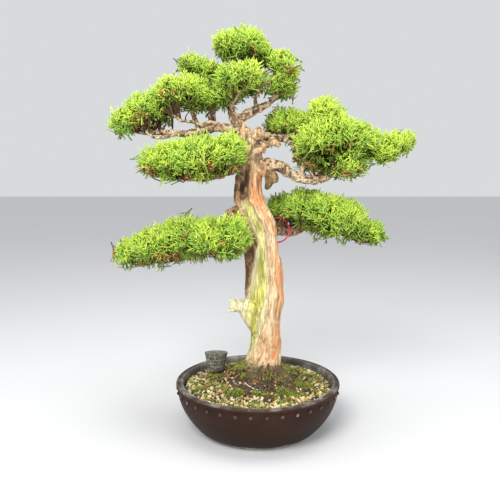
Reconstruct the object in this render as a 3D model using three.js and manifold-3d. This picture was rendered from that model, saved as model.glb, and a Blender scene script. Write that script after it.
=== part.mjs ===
// A juniper bonsai in a round studded clay bowl, with its soil, moss, feed basket and fixings.
// Millimetres, +Z up. The plant's front looks along -Y.
import * as THREE from 'three';
import { mergeVertices } from 'three/addons/utils/BufferGeometryUtils.js';
import ManifoldModule from 'manifold-3d';

const wasm = await ManifoldModule();
wasm.setup();

// ---------------------------------------------------------------- driving dimensions
const GAP = 0.4; // clearance left between pieces that touch

const POT_HEIGHT = 74;
const RIM_RADIUS = 125; // outside of the lip
const RIM_WIDTH = 11; // flat top of the lip
const LIP_DEPTH = 5.5; // height of the lip band
const BODY_RADIUS = 123; // wall just under the lip
const FOOT_RADIUS = 87;
const FOOT_RING_WIDTH = 9;
const FOOT_HEIGHT = 6;
const FLOOR_THICKNESS = 8;
const WALL_THICKNESS = 8.5;
const POT_SIDES = 32;
const STUD_COUNT = 36;
const STUD_RADIUS = 3;
const STUD_DROP = 11.5; // stud row below the rim's top
const FLOOR_TOP = FOOT_HEIGHT + FLOOR_THICKNESS;

const DRAIN_RADIUS = 11;
const DRAIN_RING = 46; // drain hole centres from the pot's axis
const DRAIN_COUNT = 3;
const WIRE_HOLE_RADIUS = 2.6;
const WIRE_HOLE_X = 30;

const SCREEN_SIDE = 30;
const SCREEN_THICKNESS = 1;
const SCREEN_CELLS = 4;
const SCREEN_PITCH = 5.5;
const SCREEN_CELL = 4;
const CLIP_WIRE = 1.2; // staple wire diameter
const ANCHOR_WIRE = 2; // anchor wire diameter

const SOIL_EDGE = 62; // soil level at the pot's wall
const SOIL_CROWN = 97; // top of the soil mound, under the trunk

const BASKET_AT = [-66, 30];
const BASKET_TILT = THREE.MathUtils.degToRad(-8); // leans to the back
const BASKET_FOOT = 77; // underside of the cup
const CUP_HEIGHT = 27;
const CUP_TOP_RADIUS = 17.8;
const CUP_FOOT_RADIUS = 13;
const CUP_WALL = 1.3;
const CUP_ROWS = 4;
const CUP_HOLES = 10;
const CUP_HOLE_RADIUS = 1.6;
const STAKE_RADIUS = 1.9;
const STAKE_LENGTH = 46;
const LID_RADIUS = 18.4;

const RING_RADIUS = 19;
const RING_WIRE = 1.1; // wire radius of the coated tie ring

// ---------------------------------------------------------------- from meshes to solids and back
function solidOf(geometry) {
  const bare = geometry.clone();
  bare.deleteAttribute('normal');
  bare.deleteAttribute('uv');
  const merged = mergeVertices(bare, 1e-4);
  const mesh = new wasm.Mesh({
    numProp: 3,
    vertProperties: new Float32Array(merged.attributes.position.array),
    triVerts: new Uint32Array(merged.index.array),
  });
  return new wasm.Manifold(mesh);
}

function geometryOf(solid) {
  const mesh = solid.getMesh();
  const geometry = new THREE.BufferGeometry();
  geometry.setAttribute('position', new THREE.BufferAttribute(mesh.vertProperties, 3));
  geometry.setIndex(new THREE.BufferAttribute(mesh.triVerts, 1));
  geometry.computeVertexNormals();
  return geometry;
}

const union = (solids) => solids.reduce((whole, next) => whole.add(next));

// What is left of a solid after the cuts, without any splinters that they part from it.
function cutBy(solid, tools) {
  const left = tools.reduce((rest, tool) => rest.subtract(tool), solid);
  return left.decompose().reduce((most, next) => (next.volume() > most.volume() ? next : most));
}

// ---------------------------------------------------------------- shape helpers
// A lathe's profile is in (radius, height); the lathe turns about Y, so it is laid over to Z.
function lathe(profile, sides) {
  const points = profile.map(([r, z]) => new THREE.Vector2(r, z));
  return new THREE.LatheGeometry(points, sides).rotateX(Math.PI / 2);
}

function closeRings(rings) {
  const sides = rings[0].length;
  const vertices = rings.flat();
  const index = [];
  for (let ring = 0; ring + 1 < rings.length; ring += 1) {
    for (let side = 0; side < sides; side += 1) {
      const next = (side + 1) % sides;
      const a = ring * sides + side;
      const b = ring * sides + next;
      index.push(a, b, b + sides, a, b + sides, a + sides);
    }
  }
  const ends = [[0, true], [rings.length - 1, false]];
  for (const [ring, flip] of ends) {
    const centre = new THREE.Vector3();
    rings[ring].forEach((point) => centre.addScaledVector(point, 1 / sides));
    vertices.push(centre);
    for (let side = 0; side < sides; side += 1) {
      const a = ring * sides + side;
      const b = ring * sides + ((side + 1) % sides);
      index.push(vertices.length - 1, flip ? b : a, flip ? a : b);
    }
  }
  const geometry = new THREE.BufferGeometry().setFromPoints(vertices);
  geometry.setIndex(index);
  return geometry;
}

// A tapering limb along a smooth curve. Each station is [x, y, z, radius].
function limb(stations, { sides = 8, perStation = 2, grow = 0 } = {}) {
  const curve = new THREE.CatmullRomCurve3(stations.map(([x, y, z]) => new THREE.Vector3(x, y, z)));
  const count = (stations.length - 1) * perStation;
  const frames = curve.computeFrenetFrames(count, false);
  const rings = [];
  for (let step = 0; step <= count; step += 1) {
    const along = step / count;
    const place = curve.getPointAt(along);
    const slot = Math.min(along * (stations.length - 1), stations.length - 1 - 1e-9);
    const from = Math.floor(slot);
    const radius = THREE.MathUtils.lerp(stations[from][3], stations[from + 1][3], slot - from) + grow;
    const ends = (step === 0 ? -grow : 0) + (step === count ? grow : 0);
    place.addScaledVector(frames.tangents[step], ends);
    const ring = [];
    for (let side = 0; side < sides; side += 1) {
      const turn = (side / sides) * 2 * Math.PI;
      ring.push(place.clone()
        .addScaledVector(frames.normals[step], radius * Math.cos(turn))
        .addScaledVector(frames.binormals[step], radius * Math.sin(turn)));
    }
    rings.push(ring);
  }
  return solidOf(closeRings(rings));
}

// A stack of level oval rings. Each station is [height, centre x, centre y, half width, half depth].
function stack(stations, sides, grow = 0) {
  const last = stations.length - 1;
  const rings = stations.map(([z, x, y, width, depth], level) => {
    const height = z + (level === last ? grow : 0) - (level === 0 ? grow : 0);
    const ring = [];
    for (let side = 0; side < sides; side += 1) {
      const turn = (side / sides) * 2 * Math.PI;
      ring.push(new THREE.Vector3(
        x + (width + grow) * Math.cos(turn),
        y + (depth + grow) * Math.sin(turn),
        height,
      ));
    }
    return ring;
  });
  return solidOf(closeRings(rings));
}

function ellipsoid([x, y, z, rx, ry, rz], across = 7, down = 5) {
  return solidOf(new THREE.SphereGeometry(1, across, down).rotateX(Math.PI / 2)
    .scale(rx, ry, rz).translate(x, y, z));
}

// A round wire of even thickness along a smooth path.
function wire(points, diameter, { steps = 24, sides = 8 } = {}) {
  const section = new THREE.Shape();
  for (let side = 0; side < sides; side += 1) {
    const turn = (side / sides) * 2 * Math.PI;
    const x = (diameter / 2) * Math.cos(turn);
    const y = (diameter / 2) * Math.sin(turn);
    if (side === 0) section.moveTo(x, y);
    else section.lineTo(x, y);
  }
  section.closePath();
  const path = new THREE.CatmullRomCurve3(points.map((p) => new THREE.Vector3(...p)));
  return new THREE.ExtrudeGeometry(section, { steps, extrudePath: path, curveSegments: 1 });
}

const ringPlace = (radius, degrees) => {
  const turn = THREE.MathUtils.degToRad(degrees);
  return [radius * Math.cos(turn), radius * Math.sin(turn)];
};

// ---------------------------------------------------------------- clay pot
function bowlRadius(z) { // outside of the bowl between the foot and the lip
  const rise = (z - 2) / (POT_HEIGHT - LIP_DEPTH - 2);
  return FOOT_RADIUS + (BODY_RADIUS - FOOT_RADIUS) * Math.sin((rise * Math.PI) / 2) ** 0.8;
}

function potProfile() {
  const outside = [2.001, 7, 16, 29, 48, POT_HEIGHT - LIP_DEPTH]
    .map((z) => [bowlRadius(z), z]);
  const lip = [
    [RIM_RADIUS - 0.6, POT_HEIGHT - LIP_DEPTH + 0.8],
    [RIM_RADIUS, POT_HEIGHT - LIP_DEPTH / 2],
    [RIM_RADIUS - 1, POT_HEIGHT - 1],
    [RIM_RADIUS - 3, POT_HEIGHT],
    [RIM_RADIUS - RIM_WIDTH, POT_HEIGHT],
  ];
  const inside = [60, 44, 30, 19].map((z) => [bowlRadius(z) - WALL_THICKNESS, z]);
  return [
    [0, FOOT_HEIGHT],
    [FOOT_RADIUS - FOOT_RING_WIDTH, FOOT_HEIGHT],
    [FOOT_RADIUS - FOOT_RING_WIDTH, 0],
    [FOOT_RADIUS - 0.5, 0],
    ...outside,
    ...lip,
    ...inside,
    [bowlRadius(19) - WALL_THICKNESS - 8, FLOOR_TOP],
    [0, FLOOR_TOP],
  ];
}

const drainPlaces = Array.from({ length: DRAIN_COUNT }, (_, n) => ringPlace(DRAIN_RING, 90 + n * 120));

function makePot() {
  const body = solidOf(lathe(potProfile(), POT_SIDES));
  const studHeight = POT_HEIGHT - STUD_DROP;
  const studs = Array.from({ length: STUD_COUNT }, (_, n) => {
    const [x, y] = ringPlace(bowlRadius(studHeight) - 0.4, 5 + n * (360 / STUD_COUNT));
    return ellipsoid([x, y, studHeight, STUD_RADIUS, STUD_RADIUS, STUD_RADIUS], 6, 4);
  });
  const holes = drainPlaces.map(([x, y]) => solidOf(
    new THREE.CylinderGeometry(DRAIN_RADIUS, DRAIN_RADIUS, 30, 16)
      .rotateX(Math.PI / 2).translate(x, y, FLOOR_TOP - 6),
  ));
  for (const side of [-1, 1]) {
    holes.push(solidOf(new THREE.CylinderGeometry(WIRE_HOLE_RADIUS, WIRE_HOLE_RADIUS, 30, 10)
      .rotateX(Math.PI / 2).translate(side * WIRE_HOLE_X, 0, FLOOR_TOP - 6)));
  }
  // Four low arches part the foot ring into feet, so that water runs away.
  const arches = [45, 135].map((degrees) => solidOf(
    new THREE.CylinderGeometry(1, 1, 2 * RIM_RADIUS, 12).scale(20, 1, 3.6)
      .rotateZ(THREE.MathUtils.degToRad(degrees)),
  ));
  return cutBy(union([body, ...studs]), [...holes, ...arches]);
}

// ---------------------------------------------------------------- drain screens and their staples
function makeScreen([x, y]) {
  const plate = solidOf(new THREE.BoxGeometry(SCREEN_SIDE, SCREEN_SIDE, SCREEN_THICKNESS));
  const first = -((SCREEN_CELLS - 1) / 2) * SCREEN_PITCH;
  const cells = [];
  for (let column = 0; column < SCREEN_CELLS; column += 1) {
    for (let row = 0; row < SCREEN_CELLS; row += 1) {
      cells.push(solidOf(new THREE.BoxGeometry(SCREEN_CELL, SCREEN_CELL, 4)
        .translate(first + column * SCREEN_PITCH, first + row * SCREEN_PITCH, 0)));
    }
  }
  return plate.subtract(union(cells)).translate([x, y, FLOOR_TOP + GAP + SCREEN_THICKNESS / 2]);
}

const STAPLE_TOP = FLOOR_TOP + GAP + SCREEN_THICKNESS + GAP + CLIP_WIRE / 2;

function makeStaple([x, y]) {
  const leg = SCREEN_PITCH * 1.5; // the legs pass through the screen's outer cells
  const under = FOOT_HEIGHT - GAP - CLIP_WIRE / 2;
  const half = [
    [leg + 6.5, under],
    [leg + 1.6, under],
    [leg + 0.2, under + 1.2],
    [leg, under + 3],
    [leg, STAPLE_TOP - 1.6],
    [leg - 0.7, STAPLE_TOP - 0.3],
    [leg - 2.5, STAPLE_TOP],
  ];
  const left = half.map(([across, z]) => [-across, 0, z]);
  const right = half.map(([across, z]) => [across, 0, z]).reverse();
  const route = [...left, ...right];
  return solidOf(wire(route, CLIP_WIRE, { steps: 22, sides: 5 }).translate(x, y + SCREEN_PITCH / 2, 0));
}

// ---------------------------------------------------------------- anchor wire over the roots
const UNDER_FLOOR = FOOT_HEIGHT - GAP - ANCHOR_WIRE / 2 - 0.8;
const ANCHOR_ROUTE = [
  [-34, -52.5, 85.5],
  [-31.5, -49, 82.5],
  [-31.5, -44, 77],
  [-32, -36, 66],
  [-31, -21, 48],
  [-WIRE_HOLE_X, -6, 32],
  [-WIRE_HOLE_X, 0, 20],
  [-WIRE_HOLE_X, 0, 8],
  [-WIRE_HOLE_X + 1.6, 0, UNDER_FLOOR + 0.2],
  [-WIRE_HOLE_X + 7, 0, UNDER_FLOOR],
  [WIRE_HOLE_X - 7, 0, UNDER_FLOOR],
  [WIRE_HOLE_X - 1.6, 0, UNDER_FLOOR + 0.2],
  [WIRE_HOLE_X, 0, 8],
  [WIRE_HOLE_X, 0, 20],
  [29, -14, 40],
  [26, -32, 56],
  [20, -44, 70],
  [10, -51, 75.5],
  [-4, -53, 76.5],
  [-15, -52, 82],
  [-19.5, -51, 86],
];

const anchorWire = (grow) => solidOf(wire(ANCHOR_ROUTE, ANCHOR_WIRE + 2 * grow, { steps: 57, sides: 5 }));

// ---------------------------------------------------------------- trunk, roots and dead stubs
const TRUNK = [ // height, centre x, centre y, half width, half depth
  [58, 7, 2, 27, 24],
  [76, 6, 1, 33, 28],
  [90, 6.5, 0, 31, 27],
  [100, 7, 0, 28.5, 25],
  [112, 9, 0, 26, 22],
  [128, 11, 0, 24, 20],
  [151, 10.5, 0, 23.5, 19.5],
  [174, 9.5, 0, 26.5, 20.5],
  [197, 10.5, 0, 30, 21.5],
  [213, 9.5, 0, 29.5, 21.5],
  [236, 9.5, 0, 28.5, 21],
  [256, 8.5, 0, 28, 20.5],
  [274, 5, 0, 26, 20],
  [289, 4, 0, 25, 19.5],
  [304, 3, 0, 25, 19],
  [319, 0, 0, 25.5, 18.5],
  [334, -6.5, 0, 23.5, 17.5],
  [349, -11, 0, 20, 16],
  [364, -12, 0, 17, 14.5],
  [378, -11.5, 0, 15.5, 13.5],
  [400, -9, 0, 17, 14],
  [415, -10, 0, 16, 13.5],
  [429, -11.5, 0, 15, 12.5],
  [444, -19.5, 0, 12.5, 11],
  [455, -26.5, 0, 11, 10],
  [466, -33, 0, 9.5, 8.5],
  [476, -37, 0, 6.5, 6.5],
  [482, -38.5, 0, 5.2, 5.2],
];

const ROOT_HEADINGS = [-158, -122, -92, -52, -14, 38, 92, 148]; // degrees round the trunk
const ROOT_COURSE = [[10, 96, 12.5], [27, 88, 10], [44, 77, 7], [60, 63, 4]]; // out, height, radius
const ROOTS = ROOT_HEADINGS.map((heading, n) => ROOT_COURSE.map(([out, z, radius], stop) => {
  const [x, y] = ringPlace(out, heading + stop * (n % 2 ? 5 : -4));
  return [x + 6, y, z, radius - (n % 3)];
}));

const DEAD_STUBS = [
  // broken branch low on the left, with its two prongs
  [[2, -10, 186, 15], [-12, -12, 190, 13], [-25, -13, 192, 9.5], [-34, -13, 191, 7], [-38, -13, 190, 4]],
  [[-29, -13, 194, 5], [-36, -13, 196, 3.6], [-40, -13, 199, 1.4]],
  [[-29, -13, 187, 5], [-38, -13, 185, 3.4], [-44, -13, 181, 1.2]],
  // the flare of bare wood that carries it down the stem
  [[-2, -8, 146, 9], [-6, -12, 162, 11], [-14, -13, 176, 11], [-24, -13, 187, 8]],
  // burr on the shoulder of the right high branch
  [[-10, -2, 436, 9], [-2, -6, 442, 9.5], [2, -7, 449, 7.5], [3, -7, 453, 4]],
  // short cut stub under the right high branch
  [[-4, -2, 420, 8], [6, -4, 425, 6.5], [15, -5, 431, 5], [25, -6, 432, 4.4], [32, -6, 428, 4]],
  // mossy knob hanging under the right low branch
  [[-2, -6, 396, 9], [8, -9, 393, 8], [17, -11, 388, 8], [22, -12, 379, 8.5], [21, -12, 370, 4]],
  // old snag up the left side of the upper trunk
  [[-18, -4, 344, 12], [-28, -6, 352, 9], [-30, -6, 366, 7.5], [-27, -5, 380, 6.5], [-22, -3, 392, 6]],
];

function makeTree(grow) {
  const options = { sides: 7, perStation: 2, grow };
  const limbs = [...ROOTS, ...DEAD_STUBS].map((stations) => limb(stations, options));
  return union([stack(TRUNK, 12, grow), ...limbs]);
}

// -------------------------------------------------------- branches: the first limb is the main one
const BRANCHES = {
  branch_lower_left: [
    [[-14, 0, 326, 13], [-34, 0, 326, 12], [-50, -2, 306, 10.5], [-66, -6, 286, 8.5],
      [-90, -8, 272, 6.5], [-118, -8, 264, 5], [-146, -8, 262, 4], [-176, -4, 268, 2.6]],
    [[-80, -7, 276, 5.5], [-94, 16, 268, 4.4], [-106, 38, 270, 3.4], [-116, 60, 276, 2.4]],
    [[-40, 0, 320, 7], [-50, 22, 302, 5], [-60, 44, 284, 3.8], [-72, 66, 284, 2.6]],
    [[-66, -6, 286, 5.5], [-58, -26, 278, 4], [-46, -38, 284, 2.6]],
  ],
  branch_lower_right: [
    [[10, 4, 308, 9], [22, 16, 305, 8.4], [36, 28, 302, 7.6], [52, 35, 299, 7], [73, 30, 306, 6],
      [96, 16, 305, 5], [128, 5, 302, 4], [160, 2, 298, 2.6]],
    [[73, 30, 306, 4.5], [88, 48, 312, 3.6], [104, 70, 322, 2.4]],
  ],
  branch_middle_left: [
    [[-16, -4, 402, 7.5], [-32, -9, 396, 7], [-52, -13, 388, 6], [-80, -14, 383, 5],
      [-108, -12, 382, 4], [-140, -8, 390, 2.6]],
    [[-62, -13, 386, 4.5], [-76, 14, 384, 3.8], [-90, 38, 388, 3], [-104, 58, 396, 2.2]],
  ],
  branch_upper_left: [
    [[-26, -2, 449, 7], [-44, -6, 453, 6.2], [-62, -8, 453, 5.4], [-85, -8, 449, 5],
      [-107, -6, 445, 4.4], [-129, -4, 447, 4], [-152, -3, 447, 3.4], [-170, -2, 447, 2.8],
      [-192, 0, 455, 2.2]],
    [[-50, -7, 455, 4], [-68, -12, 460, 3.2], [-80, -13, 457, 2.8], [-95, -13, 461, 2.4],
      [-110, -14, 463, 2.2], [-124, -14, 472, 1.8]],
    [[-106, -6, 446, 3.4], [-121, -12, 443, 2.6], [-138, -15, 439, 2.3], [-152, -14, 440, 2],
      [-163, -9, 449, 1.8]],
    [[-85, -8, 450, 4], [-92, -2, 466, 3], [-98, 2, 484, 2.6], [-96, 4, 508, 2.2], [-92, 8, 528, 1.8]],
  ],
  branch_right_low: [
    [[-2, -2, 400, 9.5], [16, -5, 401, 8.6], [32, -6, 398, 8], [46, -6, 389, 7], [62, -6, 381, 6],
      [80, -4, 378, 5.4], [100, -2, 382, 4.6], [124, 0, 396, 4], [156, 0, 412, 3.2],
      [190, 1, 422, 2.2]],
    [[62, -6, 381, 4.4], [66, -14, 400, 3.2], [72, -18, 420, 2.4]],
    [[112, -1, 389, 3.6], [118, -10, 408, 2.8], [122, -12, 428, 2]],
    [[84, -4, 379, 4.6], [98, 18, 390, 3.8], [110, 40, 406, 3], [118, 54, 424, 2.2]],
  ],
  branch_right_high: [
    [[-10, 0, 441, 7], [6, 5, 442, 6], [22, 10, 441, 5.2], [40, 14, 441, 4.4], [60, 12, 450, 3.6],
      [80, 8, 458, 3], [98, 5, 470, 2.2]],
    [[36, 13, 440, 3.2], [50, 7, 431, 2.6], [53, 2, 418, 2.2], [52, 0, 404, 1.8]],
    [[30, 12, 441, 4], [42, 30, 450, 3.2], [54, 50, 458, 2.4]],
  ],
  branch_apex_right: [
    [[-31, 0, 464, 6.4], [-18, 3, 473, 5.8], [-6, 5, 480, 5.4], [8, 6, 486, 4.8], [20, 6, 494, 4],
      [31, 5, 508, 3], [38, 4, 524, 2.2]],
    [[-2, 5, 483, 3.2], [-4, 4, 498, 2.4], [4, 2, 511, 2.2], [16, 1, 520, 2], [26, 1, 531, 1.8],
      [31, 2, 544, 1.6]],
  ],
  leader: [
    [[-38.5, 0, 474, 5.6], [-39.5, 0, 486, 4.8], [-44, 0, 500, 4.2], [-50, 0, 514, 3.6],
      [-55, 0, 527, 3], [-50, 1, 544, 2.6], [-38, 2, 558, 2.2], [-24, 2, 566, 1.8]],
    [[-46, 0, 504, 3], [-58, 3, 517, 2.6], [-70, 8, 527, 2.2], [-82, 10, 534, 1.8]],
    [[-40, 0, 488, 3], [-30, -10, 500, 2.4], [-22, -18, 512, 2.2], [-16, -22, 522, 1.8]],
    [[-40, 0, 486, 3.8], [-42, 20, 494, 3.2], [-42, 44, 502, 2.6], [-30, 60, 514, 2.2]],
  ],
};

const makeBranch = (name, grow) => union(
  BRANCHES[name].map((stations, n) => limb(stations, { sides: n ? 5 : 7, perStation: n ? 1 : 2, grow })),
);

// --------------------------------------------------------- foliage: lobes of [x, y, z, rx, ry, rz]
const FOLIAGE = {
  foliage_lower_left: [
    [-181, -2, 270, 33, 38, 24],
    [-147, -18, 280, 37, 42, 30],
    [-106, -8, 291, 38, 48, 34],
    [-68, -34, 293, 35, 38, 33],
    [-36, -50, 297, 26, 26, 31],
    [-112, 44, 284, 42, 42, 28],
    [-70, 52, 292, 34, 38, 27],
  ],
  foliage_lower_right: [
    [36, 44, 338, 24, 26, 21],
    [68, 22, 336, 32, 38, 29],
    [104, 4, 326, 37, 44, 35],
    [134, -8, 318, 28, 38, 29],
    [164, 4, 300, 26, 32, 20],
    [96, 58, 330, 42, 40, 28],
  ],
  foliage_middle_left: [
    [-148, -6, 405, 27, 38, 25],
    [-116, -24, 404, 33, 40, 30],
    [-79, -33, 410, 34, 36, 33],
    [-43, -43, 415, 26, 24, 27],
    [-100, 40, 404, 44, 40, 28],
  ],
  foliage_left_tip: [
    [-191, 2, 462, 26, 30, 21],
    [-166, -6, 479, 27, 34, 24],
    [-141, 16, 482, 22, 30, 20],
  ],
  foliage_left_inner: [
    [-124, -12, 503, 27, 30, 23],
    [-97, -22, 506, 27, 28, 24],
    [-78, -6, 494, 21, 26, 19],
  ],
  foliage_left_top: [
    [-98, 14, 545, 21, 30, 20],
    [-76, 20, 535, 23, 30, 20],
  ],
  foliage_apex: [
    [-48, 5, 573, 20, 28, 19],
    [-18, 0, 571, 28, 36, 24],
    [5, 10, 562, 18, 30, 18],
  ],
  foliage_apex_right: [
    [28, 5, 551, 19, 26, 19],
    [40, -4, 536, 18, 24, 19],
    [37, 10, 515, 21, 28, 18],
  ],
  foliage_apex_front: [
    [-40, -28, 522, 21, 20, 20],
    [-15, -31, 522, 23, 22, 22],
    [-54, -22, 500, 16, 16, 14],
  ],
  foliage_apex_back: [
    [-46, 54, 512, 34, 34, 28],
    [-16, 58, 530, 30, 30, 24],
  ],
  foliage_right_inner: [
    [36, 38, 464, 25, 34, 23],
    [60, 36, 458, 28, 36, 28],
  ],
  foliage_right_main: [
    [98, 4, 470, 26, 36, 30],
    [84, -20, 434, 33, 32, 31],
    [120, -14, 438, 35, 38, 32],
    [92, 4, 408, 35, 34, 25],
    [152, -4, 432, 29, 36, 27],
    [132, -8, 402, 27, 32, 27],
    [118, 46, 428, 40, 34, 32],
  ],
  foliage_right_tip: [
    [186, 0, 424, 26, 30, 25],
    [210, 2, 434, 21, 24, 16],
  ],
};

// ---------------------------------------------------------------- soil and moss
const SOIL_PROFILE = [[0, SOIL_CROWN], [28, 94], [46, 84], [58, 74], [72, 69], [96, 66], [113.4, SOIL_EDGE]];

function makeSoil(rise) {
  const inner = (z) => bowlRadius(z) - WALL_THICKNESS - GAP;
  return solidOf(lathe([
    [0, FLOOR_TOP + GAP],
    [inner(19) - 9, FLOOR_TOP + GAP],
    [inner(19) - 0.6, 19.2],
    ...[30, 44].map((z) => [inner(z), z]),
    ...SOIL_PROFILE.toReversed().map(([r, z]) => [r, z + rise]),
  ], POT_SIDES));
}

const MOSS = [ // x, y, radius across, radius deep, height over the soil
  [-34, -60, 17, 12, 7],
  [-62, 4, 13, 11, 5],
  [42, -56, 20, 14, 6],
  [72, -22, 16, 13, 5],
  [82, 24, 16, 12, 6],
  [-86, -34, 13, 10, 6],
  [-20, 62, 20, 13, 6],
];

function soilHeight(x, y) {
  const r = Math.hypot(x, y);
  const above = SOIL_PROFILE.findIndex(([radius]) => radius >= r);
  const [r0, z0] = SOIL_PROFILE[above - 1];
  const [r1, z1] = SOIL_PROFILE[above];
  return z0 + ((r - r0) / (r1 - r0)) * (z1 - z0);
}

// ---------------------------------------------------------------- feed basket
function inBasket(geometry) { // the cup's own frame: its underside at the origin
  return geometry.rotateX(BASKET_TILT).translate(BASKET_AT[0], BASKET_AT[1], BASKET_FOOT);
}

function cupRadius(z) {
  return CUP_FOOT_RADIUS + (CUP_TOP_RADIUS - CUP_FOOT_RADIUS) * (z / CUP_HEIGHT);
}

function makeCup() {
  const shell = solidOf(inBasket(lathe([
    [0, 0],
    [CUP_FOOT_RADIUS, 0],
    [CUP_TOP_RADIUS, CUP_HEIGHT],
    [CUP_TOP_RADIUS - CUP_WALL, CUP_HEIGHT],
    [CUP_FOOT_RADIUS - CUP_WALL, CUP_WALL],
    [0, CUP_WALL],
  ], 20)));
  const holes = [];
  for (let row = 0; row < CUP_ROWS; row += 1) {
    const z = 5.2 + row * 5.2;
    for (let n = 0; n < CUP_HOLES; n += 1) {
      const turn = ((n + (row % 2) / 2) / CUP_HOLES) * 2 * Math.PI;
      const punch = new THREE.CylinderGeometry(CUP_HOLE_RADIUS, CUP_HOLE_RADIUS, 6, 4)
        .rotateZ(Math.PI / 2).translate(cupRadius(z), 0, 0).rotateZ(turn).translate(0, 0, z);
      holes.push(solidOf(inBasket(punch)));
    }
  }
  return cutBy(shell, [union(holes)]);
}

const makeLid = () => solidOf(inBasket(lathe([
  [0, CUP_HEIGHT - 2],
  [CUP_TOP_RADIUS - CUP_WALL - 0.7, CUP_HEIGHT - 2],
  [CUP_TOP_RADIUS - CUP_WALL - 0.7, CUP_HEIGHT + GAP],
  [LID_RADIUS, CUP_HEIGHT + GAP],
  [LID_RADIUS, CUP_HEIGHT + 1.6],
  [LID_RADIUS - 1, CUP_HEIGHT + 2.2],
  [0, CUP_HEIGHT + 2.6],
], 20)));

const makeStake = (grow) => solidOf(inBasket(
  new THREE.CylinderGeometry(STAKE_RADIUS + grow, 0.6 + grow, STAKE_LENGTH + 2 * grow, 10)
    .rotateX(Math.PI / 2).translate(0, 0, -GAP - STAKE_LENGTH / 2),
));

const PELLETS = []; // places in the cup: three layers of four
for (const layer of [0, 1, 2]) {
  for (const quarter of [0, 1, 2, 3]) {
    const turn = (quarter + layer / 2) * (Math.PI / 2);
    const out = 6.8 + layer * 1.1;
    PELLETS.push([out * Math.cos(turn), out * Math.sin(turn), 5.6 + layer * 7.7]);
  }
}

const makePellet = (place) => solidOf(inBasket(
  new THREE.SphereGeometry(1, 6, 4).scale(4.4, 4.4, 3.8).translate(...place),
));

// --------------------------------------------------- coated wire ring round the lower right branch
const makeTieRing = (grow) => solidOf(new THREE.TorusGeometry(RING_RADIUS, RING_WIRE + grow, 6, 22)
  .rotateX(Math.PI / 2).rotateZ(THREE.MathUtils.degToRad(-20)).translate(30, 24, 302));

// ---------------------------------------------------------------- materials
function paint(color, roughness, metalness = 0) {
  return new THREE.MeshStandardMaterial({ color, roughness, metalness });
}

const CLAY = paint(0x4a3a32, 0.72);
const GRANULES = paint(0x8a7a5c, 0.95);
const MOSS_GREEN = paint(0x6f7f36, 0.95);
const BARK = paint(0xa9714a, 0.88);
const LEAF = paint(0x6fa62e, 0.7);
const BASKET_PLASTIC = paint(0x4c4f45, 0.55);
const STAKE_PLASTIC = paint(0x9da3a0, 0.45);
const FEED = paint(0xc79a4a, 0.9);
const MESH_PLASTIC = paint(0x2a2c2b, 0.6);
const ALUMINIUM = paint(0xb4b8bb, 0.35, 0.9);
const RED_COATING = paint(0xc8354e, 0.4);

// ---------------------------------------------------------------- assembly
const plant = new THREE.Group();
const named = (name, solid, material) => {
  const mesh = new THREE.Mesh(geometryOf(solid), material);
  mesh.name = name;
  plant.add(mesh);
};

const treeSpace = makeTree(GAP);
const branchNames = Object.keys(BRANCHES);
const branchSpaces = Object.fromEntries(branchNames.map((name) => [name, makeBranch(name, GAP)]));

named('pot', makePot(), CLAY);
drainPlaces.forEach((place, n) => {
  named(`drain_screen_${n + 1}`, makeScreen(place), MESH_PLASTIC);
  named(`screen_staple_${n + 1}`, makeStaple(place), ALUMINIUM);
});
named('anchor_wire', anchorWire(0), ALUMINIUM);

const screenPockets = drainPlaces.map(([x, y]) => solidOf(
  new THREE.BoxGeometry(SCREEN_SIDE + 2 * GAP, SCREEN_SIDE + 2 * GAP, 7).translate(x, y, FLOOR_TOP + 0.6),
));
const soil = cutBy(makeSoil(0), [treeSpace, anchorWire(GAP), makeStake(GAP), ...screenPockets]);
named('soil_mix', soil, GRANULES);

const mossFloor = [makeSoil(GAP), treeSpace, anchorWire(GAP), makeStake(GAP)];
MOSS.forEach(([x, y, across, deep, height], n) => {
  const patch = ellipsoid([x, y, soilHeight(x, y) - 1, across, deep, height], 10, 7);
  named(`moss_patch_${n + 1}`, cutBy(patch, mossFloor), MOSS_GREEN);
});

named('trunk', makeTree(0), BARK);
branchNames.forEach((name, n) => {
  const earlier = branchNames.slice(0, n).map((other) => branchSpaces[other]);
  named(name, cutBy(makeBranch(name, 0), [treeSpace, ...earlier]), BARK);
});

const woodSpace = [treeSpace, ...Object.values(branchSpaces), makeTieRing(GAP)];
const padNames = Object.keys(FOLIAGE);
const padOf = (name, grow) => union(
  FOLIAGE[name].map(([x, y, z, rx, ry, rz]) => ellipsoid([x, y, z, rx + grow, ry + grow, rz + grow])),
);
padNames.forEach((name, n) => {
  const earlier = padNames.slice(0, n).map((other) => padOf(other, GAP));
  named(name, cutBy(padOf(name, 0), [...woodSpace, ...earlier]), LEAF);
});

named('tie_ring', makeTieRing(0), RED_COATING);
named('feed_basket_cup', makeCup(), BASKET_PLASTIC);
named('feed_basket_lid', makeLid(), BASKET_PLASTIC);
named('feed_basket_stake', makeStake(0), STAKE_PLASTIC);
PELLETS.forEach((place, n) => named(`feed_pellet_${n + 1}`, makePellet(place), FEED));

// The origin is the middle of the plant's footprint, on the surface that the pot stands on.
const footprint = new THREE.Box3().setFromObject(plant).getCenter(new THREE.Vector3());
plant.position.set(-footprint.x, -footprint.y, 0);

export default plant;
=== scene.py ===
# %% [markdown]
# # A juniper bonsai in a studded clay bowl
#
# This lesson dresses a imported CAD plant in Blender. The CAD gives the frame: where the bowl
# stands, how high the tree is, and where each branch and foliage pad sits. Blender gives the
# looks: bark, thousands of small scale-leaf shoots, loose soil, moss and clay.
#
# The frame has to be loaded before anything else is made, because every place below is taken from
# it.

# %% Load the frame
import math

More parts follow.
